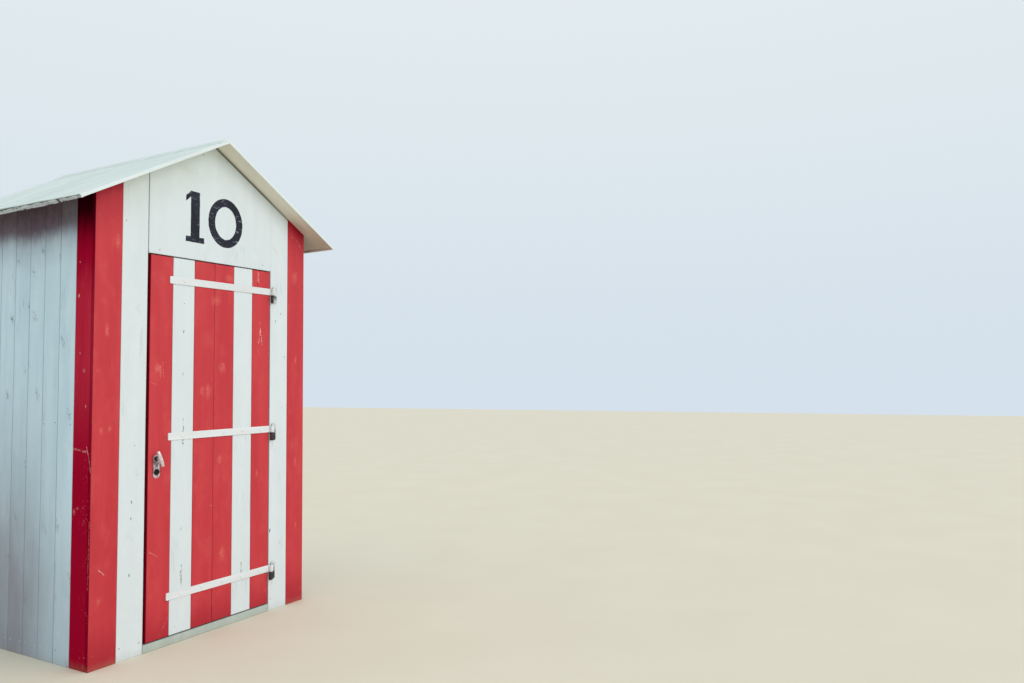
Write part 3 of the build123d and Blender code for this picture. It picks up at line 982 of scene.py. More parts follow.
def roof_finish():
    """White paint brushed down the slope over felt, with faint green and grey stains."""
    n = Finish("roof_paint")
    runs = n.drawn_noise(n.grain, (15, 15, 1.8), 5.0, 0.62)
    smears = n.drawn_noise(n.grain, (1.8, 1.8, 15), 4.0, 0.6)
    fine = n.drawn_noise(n.grain, (240, 240, 9), 3.0, 0.6)
    cloud = n.noise(n.grain, 3.6, 4.0, 0.6)
    grit = n.noise(n.grain, 900.0, 2.0)
    colour = n.blend(n.between(runs, 0.36, 0.70), paint(219, 230, 227), paint(231, 242, 238))
    colour = n.lay(colour, paint(208, 221, 215), n.between(cloud, 0.46, 0.68), 0.40)
    colour = n.lay(colour, paint(194, 206, 202), n.between(smears, 0.52, 0.72), 0.35)
    colour = n.lay(colour, paint(172, 183, 180), n.between(fine, 0.55, 0.8), 0.22)
    chips = n.rubbed(0.34)
    colour = n.lay(colour, paint(96, 96, 94), chips, 0.7)
    height = n.weighed((fine, 0.35), (runs, 0.8), (grit, 0.12))
    return n.close(colour, n.ramp(runs, 0.5, 0.68), height, gloss=PAINT_GLOSS)


def trim_finish(name, pale, dull, grimy, outer_shade=None):
    """White paint on the roof sheets in brushed patches; where an outer shade is given, also a painted shade
    that deepens toward the eave ends, warmed by a painted reflection of the red boards, and a painted shade
    line along the soffit in front of the wall.
    """
    n = Finish(name)
    brush = n.use(brush_marks, grain=n.grain)
    colour = n.blend(n.between(brush["Broad"], 0.3, 0.7), dull, pale)
    colour = n.lay(colour, grimy, n.between(brush["Fine"], 0.5, 0.8), 0.3)
    if outer_shade is not None:
        across, depth, _ = n.split(n.place)
        out = n.maths("ABSOLUTE", across)
        past_wall = n.plus(n.maths("ABSOLUTE", depth), FRONT)
        # A painted shade line along the soffit, just in front of the wall, near the middle.
        corner = n.times(n.between(past_wall, 0.015, 0.004), n.between(past_wall, -0.03, -0.01))
        corner = n.times(corner, n.between(out, 0.56, 0.36))
        rough = n.drawn_noise(n.place, (9, 30, 9), 4.0, 0.6)
        out = n.plus(out, n.ramp(rough, -0.08, 0.08))
        # Painted shade toward the eave ends, warm as a painted reflection of the red boards below.
        colour = n.blend(n.between(out, 0.40, 0.86), colour, outer_shade)
        colour = n.lay(colour, CREVICE_SHADE, corner, 0.45)
    chips = n.rubbed(0.16)
    colour = n.lay(colour, paint(150, 140, 122), chips, 0.7)
    height = n.plus(brush["Fine"], n.times(brush["Broad"], 0.5))
    return n.close(colour, n.ramp(brush["Broad"], 0.5, 0.65), height, depth=0.0004, gloss=PAINT_GLOSS)


def eave_edge_finish():
    """The sheets' lower edges: thin grey paint over splintered board, broken dark along both arrises by
    splits and by a painted shadow under the cover's lip.
    """
    n = Finish("eave_edge_paint")
    fibres = n.use(wood_fibres, grain=n.grain)
    patches = n.drawn_noise(n.place, (30, 9, 60), 4.0, 0.65)
    breaks = n.drawn_noise(n.place, (60, 22, 120), 4.0, 0.7)
    colour = n.blend(n.between(patches, 0.40, 0.62), paint(178, 185, 190), paint(208, 216, 221))
    colour = n.lay(colour, EDGE_FIBRE, n.between(fibres["Fine"], 0.5, 0.75), 0.30)
    # Dark breaks along the arrises: splits in the board, and a painted shadow under the cover's lip.
    splits_and_lip_shadow = n.plus(n.times(n.worn, 0.20), breaks)
    split = n.between(splits_and_lip_shadow, 0.60, 0.66)
    colour = n.blend(split, colour, paint(44, 42, 44))
    height = n.minus(fibres["Fine"], n.times(split, 2.0))
    return n.close(colour, n.ramp(patches, 0.7, 0.85), height)


def strap_finish():
    """White paint on flat iron, with rust coming through at edges."""
    n = Finish("strap_paint")
    brush = n.use(brush_marks, grain=n.grain)
    rust = n.use(rust_patches, place=n.place, amount=0.3)
    colour = n.blend(n.between(brush["Broad"], 0.3, 0.7), paint(216, 219, 221), paint(229, 232, 234))
    chips = n.maths("MAXIMUM", n.rubbed(0.16), n.flaked(0.16))
    rusty = n.blend(rust["Shade"], paint(96, 90, 88), paint(140, 128, 118))
    colour = n.lay(colour, rusty, chips, 0.65)
    height = n.weighed((brush["Fine"], 0.4), (chips, -0.4))
    return n.close(colour, n.ramp(brush["Broad"], 0.40, 0.56), height, depth=0.0006, gloss=PAINT_GLOSS)


def iron_finish(name, metal, rust_pale, rust_amount):
    """Dark iron with rust, under what is left of its paint where the piece is marked as coated."""
    n = Finish(name)
    coat = n.add("Attribute", attribute_name="coat").outputs["Fac"]
    rust = n.use(rust_patches, place=n.place, amount=rust_amount)
    rusty = n.blend(rust["Shade"], paint(44, 34, 32), rust_pale)
    colour = n.blend(rust["Mask"], metal, rusty)
    flakes = n.plus(n.noise(n.place, 120.0, 4.0, 0.7), n.times(n.worn, 0.14))
    kept = n.times(coat, n.between(flakes, 0.66, 0.61))
    colour = n.blend(kept, colour, paint(208, 217, 217))
    metallic = n.times(n.minus(1.0, n.maths("MAXIMUM", rust["Mask"], kept)), 0.8)
    n.tree.links.new(metallic, n.inputs["Metallic"])
    height = n.weighed((rust["Pits"], 0.5), (kept, 0.6))
    return n.close(colour, n.ramp(rust["Mask"], 0.5, 0.85), height, depth=0.0005)


def nail_finish(name, base):
    """Painted-over nail heads, a few of them rusting through."""
    n = Finish(name)
    rust = n.use(rust_patches, place=n.place, amount=0.8)
    rusty = n.blend(rust["Shade"], paint(84, 66, 58), paint(132, 112, 98))
    bled = n.times(n.between(n.tone, 0.80, 0.84), n.between(rust["Shade"], 0.30, 0.45))
    colour = n.blend(bled, base, rusty)
    return n.close(colour, n.ramp(bled, 0.5, 0.8), rust["Pits"], depth=0.0003)


def metal_finish(name, bright, dull, rough=0.4, marks=()):
    """Handled metal: lighter on its eased edges, partly rubbed bright and partly a painted highlight, dull
    in between.
    """
    n = Finish(name)
    cloud = n.noise(n.place, 90.0, 4.0, 0.6)
    fine = n.drawn_noise(n.place, (900, 900, 200), 3.0)
    colour = n.blend(n.between(cloud, 0.35, 0.7), dull, bright)
    colour = add_marks(n, colour, marks)
    # Lighter on eased edges: rubbing, and a painted highlight on the grip's rounded ends.
    colour = n.lay(colour, bright, n.worn, 0.4)
    n.inputs["Metallic"].default_value = 0.6
    return n.close(colour, n.ramp(cloud, rough, rough + 0.2), fine, depth=0.0002)


def numeral_finish():
    """Worn navy paint, with the panel's white coming through the brush marks."""
    n = Finish("numeral_paint")
    streaks = n.drawn_noise(n.place, (22, 1, 110), 5.0, 0.72)
    cloud = n.noise(n.place, 12.0, 3.0)
    colour = n.blend(n.between(cloud, 0.35, 0.7), paint(16, 18, 34), paint(32, 34, 52))
    rubbed = n.times(n.between(streaks, 0.56, 0.68), n.between(cloud, 0.32, 0.62))
    colour = n.lay(colour, paint(178, 188, 194), rubbed, 0.6)
    colour = n.blend(n.flaked(0.05), colour, paint(206, 214, 214))
    return n.close(colour, n.ramp(cloud, 0.5, 0.65), streaks, depth=0.0003, gloss=PAINT_GLOSS)


# Darker patches on the lock plate: round the hub, down between hub and key, and round the key.
LOCK_MARKS = (
    ("smudge", LOCK_DARK_PATCH, 0.96, (-0.362, 0.968), (0.017, 0.036)),
    ("smudge", LOCK_DARK_PATCH, 1.00, (-0.362, 1.000), (0.030, 0.030)),
    ("smudge", LOCK_DARK_PATCH, 0.96, (-0.362, 0.932), (0.028, 0.028)),
)
roof_paint = roof_finish()
soffit_paint = trim_finish(
    "soffit_paint", paint(234, 231, 216), paint(224, 221, 206), paint(206, 201, 185),
    outer_shade=paint(188, 170, 155),
)
verge_paint = trim_finish("verge_paint", paint(222, 231, 231), paint(212, 220, 219), paint(196, 200, 196))
eave_edge_paint = eave_edge_finish()
strap_paint = strap_finish()
pintle_iron = iron_finish("pintle_iron", paint(54, 52, 55), paint(88, 76, 70), 0.60)
plate_iron = iron_finish("plate_iron", paint(36, 34, 38), paint(74, 60, 56), 0.45)
red_nail = nail_finish("red_nail", paint(200, 60, 65))
white_nail = nail_finish("white_nail", paint(214, 223, 227))
blue_nail = nail_finish("blue_nail", paint(200, 224, 236))
plate_metal = metal_finish("plate_metal", paint(224, 208, 212), paint(170, 150, 158), marks=LOCK_MARKS)
key_metal = metal_finish("key_metal", paint(30, 12, 20), paint(8, 2, 6), rough=0.45)
hub_metal = metal_finish("hub_metal", paint(96, 82, 92), paint(30, 20, 28), rough=0.40)
handle_metal = metal_finish("handle_metal", paint(244, 232, 232), paint(196, 188, 188), rough=0.32)
numeral_paint = numeral_finish()


# Boards


def make_board(width, thickness, length, ease, finish, rows=ROWS):
    """A board on end: width along +X, its face in the plane y = 0, its back behind it, its foot at z = 0.

    Its face and edges have the finish, and its back is bare.
    """
    obj = block((0, 0, 0), (width, thickness, length))
    open_mesh(obj)
    bevel_edges(obj, lambda e: spans(e, 2, length / 2) and e.verts[0].co.y < thickness / 2, ease, 2)
    bevel_edges(obj, lambda e: e.calc_face_angle(0) > radians(60), BACK_EASE, 1)
    pick(obj, "FACE", is_flat_on)
    bpy.ops.mesh.inset(thickness=min(MARGIN, thickness / 4), use_individual=True)
    split_edges(obj, lambda e: spans(e, 2, length / 2), rows)
    close_mesh()
    obj.data.materials.append(finish)
    obj.data.materials.append(timber)
    for face in obj.data.polygons:
        face.material_index = 1 if face.normal.y > 0.9 else 0
    return obj


def weather(obj, width, ease, bow=BOW):
    """Bows a board a little and lets the lips of its face wander, as drying does."""
    start = Vector([luck.uniform(0, 50) for _ in range(3)])
    for vert in obj.data.vertices:
        along = vert.co.z * 1.6
        vert.co.y += bow * ripple(start + Vector((0, 0, along)))
        for edge, inward in ((0, 1), (width, -1)):
            if abs(vert.co.x - edge) < ease * 1.1 and vert.co.y < ease:
                vert.co.x += inward * LIP * abs(ripple(start + Vector((inward * 9, 0, along * 3))))
    return obj


def stand(obj, wall, low, high, foot=0.0):
    """Sets a board against a wall: low and high are its edges along the wall."""
    place, turn = {
        "front": ((low, FRONT, foot), 0),
        "left": ((LEFT, high, foot), -90),
        "right": ((RIGHT, low, foot), 90),
        "rear": ((high, REAR, foot), 180),
    }[wall]
    return put(obj, place, rotation(turn, "Z"))


def trim_under_roof(obj, right_gap=0.0):
    """Cuts off what stands above the underside of either slope, and closes the cut."""
    for side, gap in ((-1, 0.0), (1, right_gap)):
        normal = (side * sin(PITCH), 0, cos(PITCH))
        cut(obj, (0, 0, RIDGE - gap), normal, use_fill=True, clear_outer=True)
    return obj


def boarded_wall(wall, low, high, cover, length):
    """Boards of one cover width laid from low, the last one cut to what is left."""
    model = make_board(cover, BOARD, length, V_EASE, blue_paint)
    boards = []
    edge = low
    while edge < high - V_EASE:
        end = min(edge + cover, high)
        whole = end - edge > cover - V_EASE
        piece = twin(model) if whole else make_board(end - edge, BOARD, length, V_EASE, blue_paint)
        weather(piece, end - edge, V_EASE)
        boards.append(trim_under_roof(stand(mark(piece), wall, edge, end)))
        edge = end
    remove(model)
    return boards


def one_board(node, wall, name, finish, body, slot, ease=FRONT_EASE, right_gap=0.0):
    """A single board in place of a node that is one, trimmed under the roof where it reaches it."""
    low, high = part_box(node)
    edges = (low.x, high.x) if wall == "front" else (low.y, high.y)
    thickness = high.y - low.y if wall == "front" else high.x - low.x
    reaches_roof = high.z > DOOR_HIGH.z + 0.1
    length = high.z - low.z + (SPARE if reaches_roof else 0)
    width = edges[1] - edges[0]
    bow = 0.0 if node == "gable_panel" else BOW
    obj = weather(make_board(width, thickness, length, ease, finish), width, ease, bow)
    stand(mark(obj), wall, *edges, foot=low.z)
    if wall == "front":
        obj.data.transform(Matrix.Translation((0, low.y - FRONT, 0)))
    if reaches_roof:
        trim_under_roof(obj, right_gap)
    return fit(name, [obj], None, body, slot, node)


def make_walls():
    wall_top = RIDGE - SLOPE * (RIGHT - BOARD) + WALL_SPARE
    low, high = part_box("left_wall")
    for side in ("left", "right"):
        boards = boarded_wall(side, low.y, high.y, SIDE_COVER, wall_top)
        fit(side + "_wall_boards", boards, None, "hut", "pale_blue_paint", side + "_wall")
        corner = side + "_corner_board"
        one_board(corner, side, side + "_corner", corner_paint, "hut", "red_paint")
    boards = boarded_wall("rear", LEFT, RIGHT, REAR_COVER, RIDGE + WALL_SPARE)
    fit("rear_wall_boards", boards, None, "hut", "pale_blue_paint", "rear_wall")


def refinish_edge(board, finish, side):
    """Gives one long edge of a front board another finish."""
    board.data.materials.append(finish)
    for face in board.data.polygons:
        if face.normal.x * side > 0.9:
            face.material_index = len(board.data.materials) - 1


def make_front():
    for node, finish, slot, gap in (
        ("red_board_left", red_paint, "red_paint", 0.0),
        ("white_board_left", white_paint, "white_paint", 0.0),
        ("white_board_right", white_paint, "white_paint", PANEL_GAP * 0.6),
        ("red_board_right", red_paint, "red_paint", 0.0),
        ("gable_panel", white_paint, "white_paint", PANEL_GAP),
    ):
        name = node.replace("_board", "_stripe") + "_painted"
        board = one_board(node, "front", name, finish, "hut", slot, right_gap=gap)
        # The red boards' outer edges take the corner boards' paint, with its painted shade.
        if finish is red_paint:
            refinish_edge(board, corner_paint, -1 if node.endswith("left") else 1)
    one_board("threshold", "front", "threshold_board", sill_paint, "hut", "sill_paint", ease=0.004)


def make_door_boards():
    """Six planks. The edge that shuts by the lock is painted dark crimson, as painted shade in its gap."""
    for i in range(1, 7):
        red = i in (1, 3, 4, 6)
        plank = one_board(
            "door_board_%d" % i, "front", "door_plank_%d" % i, red_paint if red else white_paint, "door",
            "red_paint" if red else "white_paint",
        )
        if i == 1:
            refinish_edge(plank, shaded_gap_edge, -1)


# Timbers behind the boards


def solids(node):
    """A node's solids as pieces of their own: each is the run of faces whose edges all meet in pairs."""
    mesh = frame["nodes"][node].data
    corners = [tuple(round(value, 5) for value in vert.co) for vert in mesh.vertices]
    runs, run, unmet = [], set(), set()
    for face in mesh.polygons:
        run.add(face.index)
        points = [corners[index] for index in face.vertices]
        unmet ^= {frozenset(pair) for pair in zip(points, points[1:] + points[:1])}
        if not unmet:
            runs.append(run)
            run = set()
    for run in runs:
        obj = bpy.data.objects.new(node + "_timber", mesh.copy())
        bpy.context.collection.objects.link(obj)
        open_mesh(obj)
        pick(obj, "FACE", lambda f: f.index not in run)
        bpy.ops.mesh.delete(type="FACE")
        bpy.ops.mesh.select_all(action="SELECT")
        bpy.ops.mesh.remove_doubles(threshold=0.00001)
        bpy.ops.mesh.dissolve_limited(angle_limit=radians(1))
        close_mesh()
        yield obj


def timber_pieces(node, ease=0.0015):
    """A node's own shape in clean faces, each of its timbers eased and marked along its length."""
    pieces = list(solids(node))
    for piece in pieces:
        points = piece.data.vertices
        spans_of_edges = [points[e.vertices[1]].co - points[e.vertices[0]].co for e in piece.data.edges]
        longest = max(spans_of_edges, key=lambda span: span.length)
        across = longest.cross(Vector((0, 1, 0)))
        if across.length < longest.length / 2:
            across = longest.cross(Vector((0, 0, 1)))
        ease_edges(piece, ease)
        inset_flats(piece, min(MARGIN, min(piece.dimensions) / 4))
        weld(piece)
        mark(piece, across=across, along=longest)
    return pieces


def make_timbers():
    hidden = (
        "bearers", "floor_deck", "corner_posts", "door_posts", "door_head", "door_stops", "bottom_rails",
        "middle_rails", "eave_plates", "rear_tie_rail", "ridge_beam", "rafters",
    )
    for node in hidden:
        fit(node + "_timber", timber_pieces(node), timber, "hut", "frame_timber", node)
    for node in ("door_ledges", "door_braces"):
        fit(node + "_timber", timber_pieces(node), timber, "door", "frame_timber", node)


# Roof


def on_slope(obj, side):
    """Marks a piece made flat, X down the slope and Z square to it, and lays it on one slope."""
    mark(obj, across=(0, 1, 0), along=(1, 0, 0))
    turn = rotation(180 if side < 0 else 0, "Z") @ Matrix.Rotation(PITCH, 4, "Y")
    return put(obj, (0, 0, RIDGE), turn)


def lean_ridge_end(obj, start):
    """Slants the left sheet's top end to lie against the square end of the right one."""
    for vert in obj.data.vertices:
        if vert.co.x < start + 0.004:
            vert.co.x += vert.co.z * LAP_LEAN


def roof_sheet(side):
    """A sheet with a drip under its chipped eave edge, and room at its verges for the cover's folds."""
    reach = cad_high.y - COVER
    start = -LAP if side > 0 else 0.0
    obj = block((start, -reach, 0), (EAVE_RUN, reach, SHEET))
    ease_edges(obj, 0.0008)
    inset_flats(obj, 0.004)
    for inward in (DRIP_STRIP, DRIP_STRIP + 0.0015):
        cut(obj, (EAVE_RUN - inward, 0, 0), (1, 0, 0))
    open_mesh(obj)
    split_edges(obj, lambda e: spans(e, 1, reach), 160)
    close_mesh()
    for finish in (soffit_paint, eave_edge_paint, verge_paint, roof_paint):
        obj.data.materials.append(finish)
    underside, eave_edge, verge, top = range(4)
    for face in obj.data.polygons:
        if face.center.x > EAVE_RUN - 0.001 and face.normal.x > 0.5:
            face.material_index = eave_edge
        elif face.normal.z < -0.5:
            face.material_index = underside
        else:
            face.material_index = top if abs(face.normal.x) > 0.5 or face.normal.z > 0.5 else verge
    for vert in obj.data.vertices:
        x, y, z = vert.co
        if x > EAVE_RUN - 0.003:
            chip = wave(0, y * 22, z * 90) + 0.8 * wave(5, y * 90, z * 160)
            vert.co.x -= EAVE_CHIP * max(0, chip)
        if x > EAVE_RUN - DRIP_STRIP - 0.0005 and z < SHEET / 2:
            rag = wave(side * 7, y * 9, 2) + 0.4 * wave(side * 7, y * 70, 5)
            taper = min(1.0, (reach - abs(y)) / DRIP_TAPER)
            vert.co.z -= DRIP_LEAST + DRIP_SWELL * taper + DRIP_RAG * rag
    if side < 0:
        lean_ridge_end(obj, start)
    return on_slope(obj, side)


def roof_cover(side):
    """A thin skin over the sheet: creased and lifted along its eave, folded down over both verges."""
    reach = cad_high.y - COVER
    start = -LAP if side > 0 else SHEET * LAP_LEAN
    end = EAVE_RUN + DRIP
    bpy.ops.mesh.primitive_grid_add(x_subdivisions=48, y_subdivisions=150, size=1)
    obj = sized((end - start, 2 * reach, 1), ((start + end) / 2, 0, SHEET))
    for inward in (0.0095, EAVE_CREASE, 0.019, 0.026):
        cut(obj, (end - inward, 0, 0), (1, 0, 0))
    open_mesh(obj)
    pick(obj, "EDGE", lambda e: all(abs(abs(v.co.y) - reach) < 0.0001 for v in e.verts))
    draw_out((0, 0, -SHEET))
    close_mesh()
    for vert in obj.data.vertices:
        x, y, z = vert.co
        from_eave = end - x
        if z > SHEET / 2:
            inner = min(1.0, (reach - abs(y)) / 0.05)
            swell = wave(x * 3.1, y * 2.3, side * 4.0) + 0.4 * wave(x * 9, y * 7, 3)
            lift = max(0.0, wave(side * 3.0, y * 5.0, 0.5)) + 0.2
            crease = max(0.0, 1 - abs(from_eave - EAVE_CREASE) / CREASE_WIDTH)
            edge = max(0.0, 1 - from_eave / LIFT_WIDTH)
            inner *= min(1.0, (x - start) / 0.08)
            vert.co.z += (
                inner * COVER_WAVE * (swell + 1) + CREASE_HEIGHT * crease + inner * LIFT_HEIGHT * edge * lift
            )
        if from_eave < 0.002:
            rag = wave(side * 2.0, y * 17, 1) + 0.5 * wave(1, y * 60, 4)
            vert.co.x += COVER_RAG * rag - COVER_SHORT
        if side < 0 and x < start + 0.002:
            vert.co.x = vert.co.z * LAP_LEAN
    apply_modifier(obj, "SOLIDIFY", thickness=COVER, offset=1.0)
    ease_edges(obj, 0.0006, least_angle=50)
    weld(obj)
    for finish in (roof_paint, verge_paint):
        obj.data.materials.append(finish)
    for face in obj.data.polygons:
        face.material_index = 1 if abs(face.center.y) > reach - 0.0005 else 0
    return on_slope(obj, side)


def ridge_strip():
    """The right cover's felt carried over the lap and down on to the left one, as a thin wedge."""
    reach = cad_high.y
    lap_x = LAP * cos(2 * PITCH) - (SHEET + COVER) * sin(2 * PITCH)
    lap_z = (SHEET + COVER) * (1 + cos(2 * PITCH))
    foot = SHEET + COVER
    corners = {
        (0, 0): (LAP * cos(2 * PITCH), foot), (0, 1): (lap_x + 0.001, lap_z - 0.0005),
        (1, 0): (RIDGE_STRIP, foot), (1, 1): (RIDGE_STRIP, foot + 0.0018),
    }
    obj = block((0, -reach, 0), (1, reach, 1))
    for vert in obj.data.vertices:
        vert.co.x, vert.co.z = corners[round(vert.co.x), round(vert.co.z)]
    open_mesh(obj)
    split_edges(obj, lambda e: spans(e, 0, RIDGE_STRIP / 2), 3)
    split_edges(obj, lambda e: spans(e, 1, reach), 90)
    close_mesh()
    for vert in obj.data.vertices:
        share = vert.co.x / RIDGE_STRIP
        rag = wave(4, vert.co.y * 8, 1) + 0.4 * wave(6, vert.co.y * 40, 1)
        vert.co.x += 0.004 * rag * max(0.0, share) ** 2
    ease_edges(obj, 0.0005, least_angle=50)
    obj.data.materials.append(roof_paint)
    return on_slope(obj, -1)


def make_roof():
    for side, label in ((-1, "left"), (1, "right")):
        sheet, cover = [roof_sheet(side)], [roof_cover(side)]
        fit("roof_sheet_" + label, sheet, None, "hut", "soffit_paint", "roof_panel_" + label)
        fit("roof_skin_" + label, cover, None, "hut", "roof_paint", "roof_cover_" + label)
    fit("roof_ridge_strip", [ridge_strip()], None, "hut", "roof_paint")


# Ironwork


def facing_front(obj, place):
    """Turns a piece made along +Z to stand out from the front, and moves it to its place."""
    return put(obj, place, rotation(90, "X"))


def dome(radius, height, segments=20):
    """A low round head on the plane z = 0."""
    bpy.ops.mesh.primitive_uv_sphere_add(segments=segments, ring_count=10, radius=1)
    obj = sized((radius, radius, height))
    cut(obj, (0, 0, 0), (0, 0, 1), use_fill=True, clear_inner=True)
    return obj


def disc(radius, height, vertices=32, ease=0.0004):
    """A round or many-sided slug standing on the plane z = 0."""
    bpy.ops.mesh.primitive_cylinder_add(
        vertices=vertices, radius=radius, depth=height, location=(0, 0, height / 2)
    )
    obj = settle(bpy.context.object)
    ease_edges(obj, ease)
    return obj


def coat(obj, height, rim_only=False):
    """Marks where a piece of iron carries paint: above a height; or, for the top pintle, all but a rim under
    the strap's eye and its left side, whose bare dark iron is a painted shade.
    """
    obj.data.attributes.new("coat", "FLOAT", "POINT")
    shares = []
    for vert in obj.data.vertices:
        above = min(1, max(0, (vert.co.z - height) / COAT_FADE))
        # The bare rim and left side paint the shadow under the strap's eye and the shade on the pin's side
        # away from the light.
        inside = min(height - COAT_RIM - vert.co.z, vert.co.x - AXIS.x + COAT_SIDE) if rim_only else 0
        shares.append(max(above, min(1, max(0, inside / COAT_EDGE))))
    obj.data.attributes["coat"].data.foreach_set("value", shares)


def strap(box):
    """A flat iron with its free end rounded and its other end rolled into an eye."""
    low, high = box
    height = high.z - low.z
    middle = (low.z + high.z) / 2
    face = DOOR_LOW.y - IRON
    obj = block((low.x, face, low.z), (AXIS.x, DOOR_LOW.y, high.z))
    open_mesh(obj)
    bevel_edges(obj, lambda e: spans(e, 1, IRON / 2) and e.verts[0].co.x < low.x + 0.001, STRAP_CORNER, 4)
    pick(obj, "FACE", lambda f: f.normal.x > 0.99)
    bpy.ops.mesh.spin(
        steps=30, angle=radians(ROLL_TURN), center=(AXIS.x, AXIS.y, middle), axis=(0, 0, -1), dupli=False
    )
    bpy.ops.mesh.select_all(action="SELECT")
    bpy.ops.mesh.remove_doubles(threshold=0.00002)
    close_mesh()
    face_outward(obj)
    ease_edges(obj, 0.0007, least_angle=35)
    open_mesh(obj)
    pick(obj, "FACE", lambda f: is_flat_on(f) and f.calc_area() > 0.3 * height * (AXIS.x - low.x))
    bpy.ops.mesh.inset(thickness=0.005, use_individual=True)
    split_edges(obj, lambda e: spans(e, 0, 0.5), 24)
    close_mesh()
    start = Vector((3, 7, middle))
    for vert in obj.data.vertices:
        if vert.co.x < AXIS.x - 0.03:
            vert.co.y -= 0.0003 * abs(ripple(start + Vector((vert.co.x * 5, 0, 0))))
    mark(obj, across=(0, 0, 1), along=(1, 0, 0))
    return obj


def bolts(middle):
    """The heads on a strap, one at the centre of each board that it crosses, with nuts inside."""
    cover = (DOOR_HIGH.x - DOOR_LOW.x) / 6
    ledge_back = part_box("door_ledges")[1].y
    heads, nuts = [], []
    for i in range(1, 6):
        x = DOOR_LOW.x + cover * (i + 0.5)
        height = middle + luck.uniform(-0.003, 0.003)
        head = mark(dome(BOLT_RADIUS, BOLT_HEIGHT))
        heads.append(facing_front(head, (x, DOOR_LOW.y - IRON, height)))
        washer = mark(disc(WASHER_RADIUS, WASHER))
        nut = mark(disc(NUT_RADIUS, NUT_HEIGHT, vertices=6))
        tail = mark(disc(BOLT_TAIL_RADIUS, BOLT_TAIL))
        turn = rotation(-90, "X") @ Matrix.Rotation(luck.uniform(0, pi), 4, "Z")
        for part, lift in ((washer, 0.0), (nut, WASHER), (tail, 0.0)):
            nuts.append(put(part, (x, ledge_back + lift, height), turn))
    return heads, nuts


def pintle(box):
    """The pin on its short arm: body, pin, neck and plate, with the plate's middle and the pin's seat for
    the screws.
    """
    low, high = box
    plate_left = high.x - FLANGE_WIDTH
    seat = low.z + PINTLE_DROP
    body = put(disc(PINTLE_RADIUS, PINTLE_DROP, vertices=40, ease=0.0012), (AXIS.x, AXIS.y, low.z))
    pin = put(disc(PIN_RADIUS, PIN_LENGTH, vertices=28, ease=0.0008), (AXIS.x, AXIS.y, seat))
    neck = block(
        (AXIS.x, FRONT - NECK_REACH, low.z + NECK_FOOT),
        (high.x - NECK_INSET, FRONT - NECK_SUNK, seat - NECK_HEAD),
    )
    ease_edges(neck, 0.002, segments=3)
    plate = block((plate_left, FRONT - FLANGE, low.z), (high.x, FRONT, high.z))
    open_mesh(plate)
    bevel_edges(plate, lambda e: spans(e, 1, 0.003), FLANGE_CORNER, 5)
    close_mesh()
    ease_edges(plate, 0.0008)
    inset_flats(plate, 0.003)
    return [body, pin, neck], plate, (plate_left + high.x) / 2, seat


def screw_head(radius=0.0045):
    """A slotted countersunk head, slightly proud."""
    head = disc(radius, 0.0012, vertices=20, ease=0.0003)
    open_mesh(head)
    for place in (-SLOT_HALF_WIDTH, SLOT_HALF_WIDTH):
        bpy.ops.mesh.select_all(action="SELECT")
        bpy.ops.mesh.bisect(plane_co=(place, 0, 0), plane_no=(1, 0, 0))
    pick(head, "FACE", lambda f: f.normal.z > 0.9 and abs(f.calc_center_median().x) < 0.0005)
    draw_out((0, 0, -SLOT_DEPTH))
    close_mesh()
    return head


def make_hinges():
    for name, box in zip(("bottom", "middle", "top"), STRAPS):
        middle = (box[0].z + box[1].z) / 2
        heads, nuts = bolts(middle)
        heads.insert(0, strap(box))
        fit("strap_iron_" + name, heads, strap_paint, "door", "strap_paint", "strap_" + name)
        fit("strap_nuts_" + name, nuts, pintle_iron, "door", "pintle_iron")
        node = "pintle_" + name
        rounds, plate, centre, seat = pintle(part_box(node))
        screws = []
        for rise in FLANGE_SCREWS:
            head = put(screw_head(), (0, 0, 0), Matrix.Rotation(luck.uniform(0, pi), 4, "Z"))
            screws.append(facing_front(head, (centre, FRONT - FLANGE, seat + rise)))
        for piece in rounds + [plate] + screws:
            coat(mark(piece), seat + 0.004, name == "top")
        fit("pintle_pin_" + name, rounds, pintle_iron, "hut", "pintle_iron", node)
        fit("pintle_plate_" + name, [plate] + screws, plate_iron, "hut", "pintle_iron")


def long_plate(outside):
    """A plate with round ends, its face eased."""
    low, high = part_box("lock_plates")
    width = high.x - low.x
    bpy.ops.mesh.primitive_cylinder_add(vertices=48, radius=width / 2, depth=PLATE)
    obj = bpy.context.object
    stretch = (high.z - low.z - width) / 2
    for vert in obj.data.vertices:
        vert.co.y += stretch if vert.co.y > 0 else -stretch
    ease_edges(obj, 0.0009, segments=3)
    inset_flats(obj, 0.006)
    middle = DOOR_LOW.y - PLATE / 2 if outside else DOOR_BACK + PLATE / 2
    turn = rotation(90 if outside else -90, "X")
    return mark(put(obj, (SPINDLE.x, middle, (low.z + high.z) / 2), turn))


def rosette(radius, depth, ease):
    """A round cover with a sunk middle and the key's slot in it."""
    obj = disc(radius, depth, vertices=44, ease=ease)
    open_mesh(obj)
    pick(obj, "FACE", lambda f: f.normal.z > 0.999)
    bpy.ops.mesh.inset(thickness=ROSETTE_RIM)
    draw_out((0, 0, -ROSETTE_SUNK))
    bpy.ops.mesh.inset(thickness=ROSETTE_STEP)
    draw_out((0, 0, ROSETTE_RAISED))
    close_mesh()
    key_way = put(block((-0.0014, -0.006, 0), (0.0014, 0.006, 0.0005)), (0, 0, depth - 0.0003))
    return join("rosette", [obj, key_way])


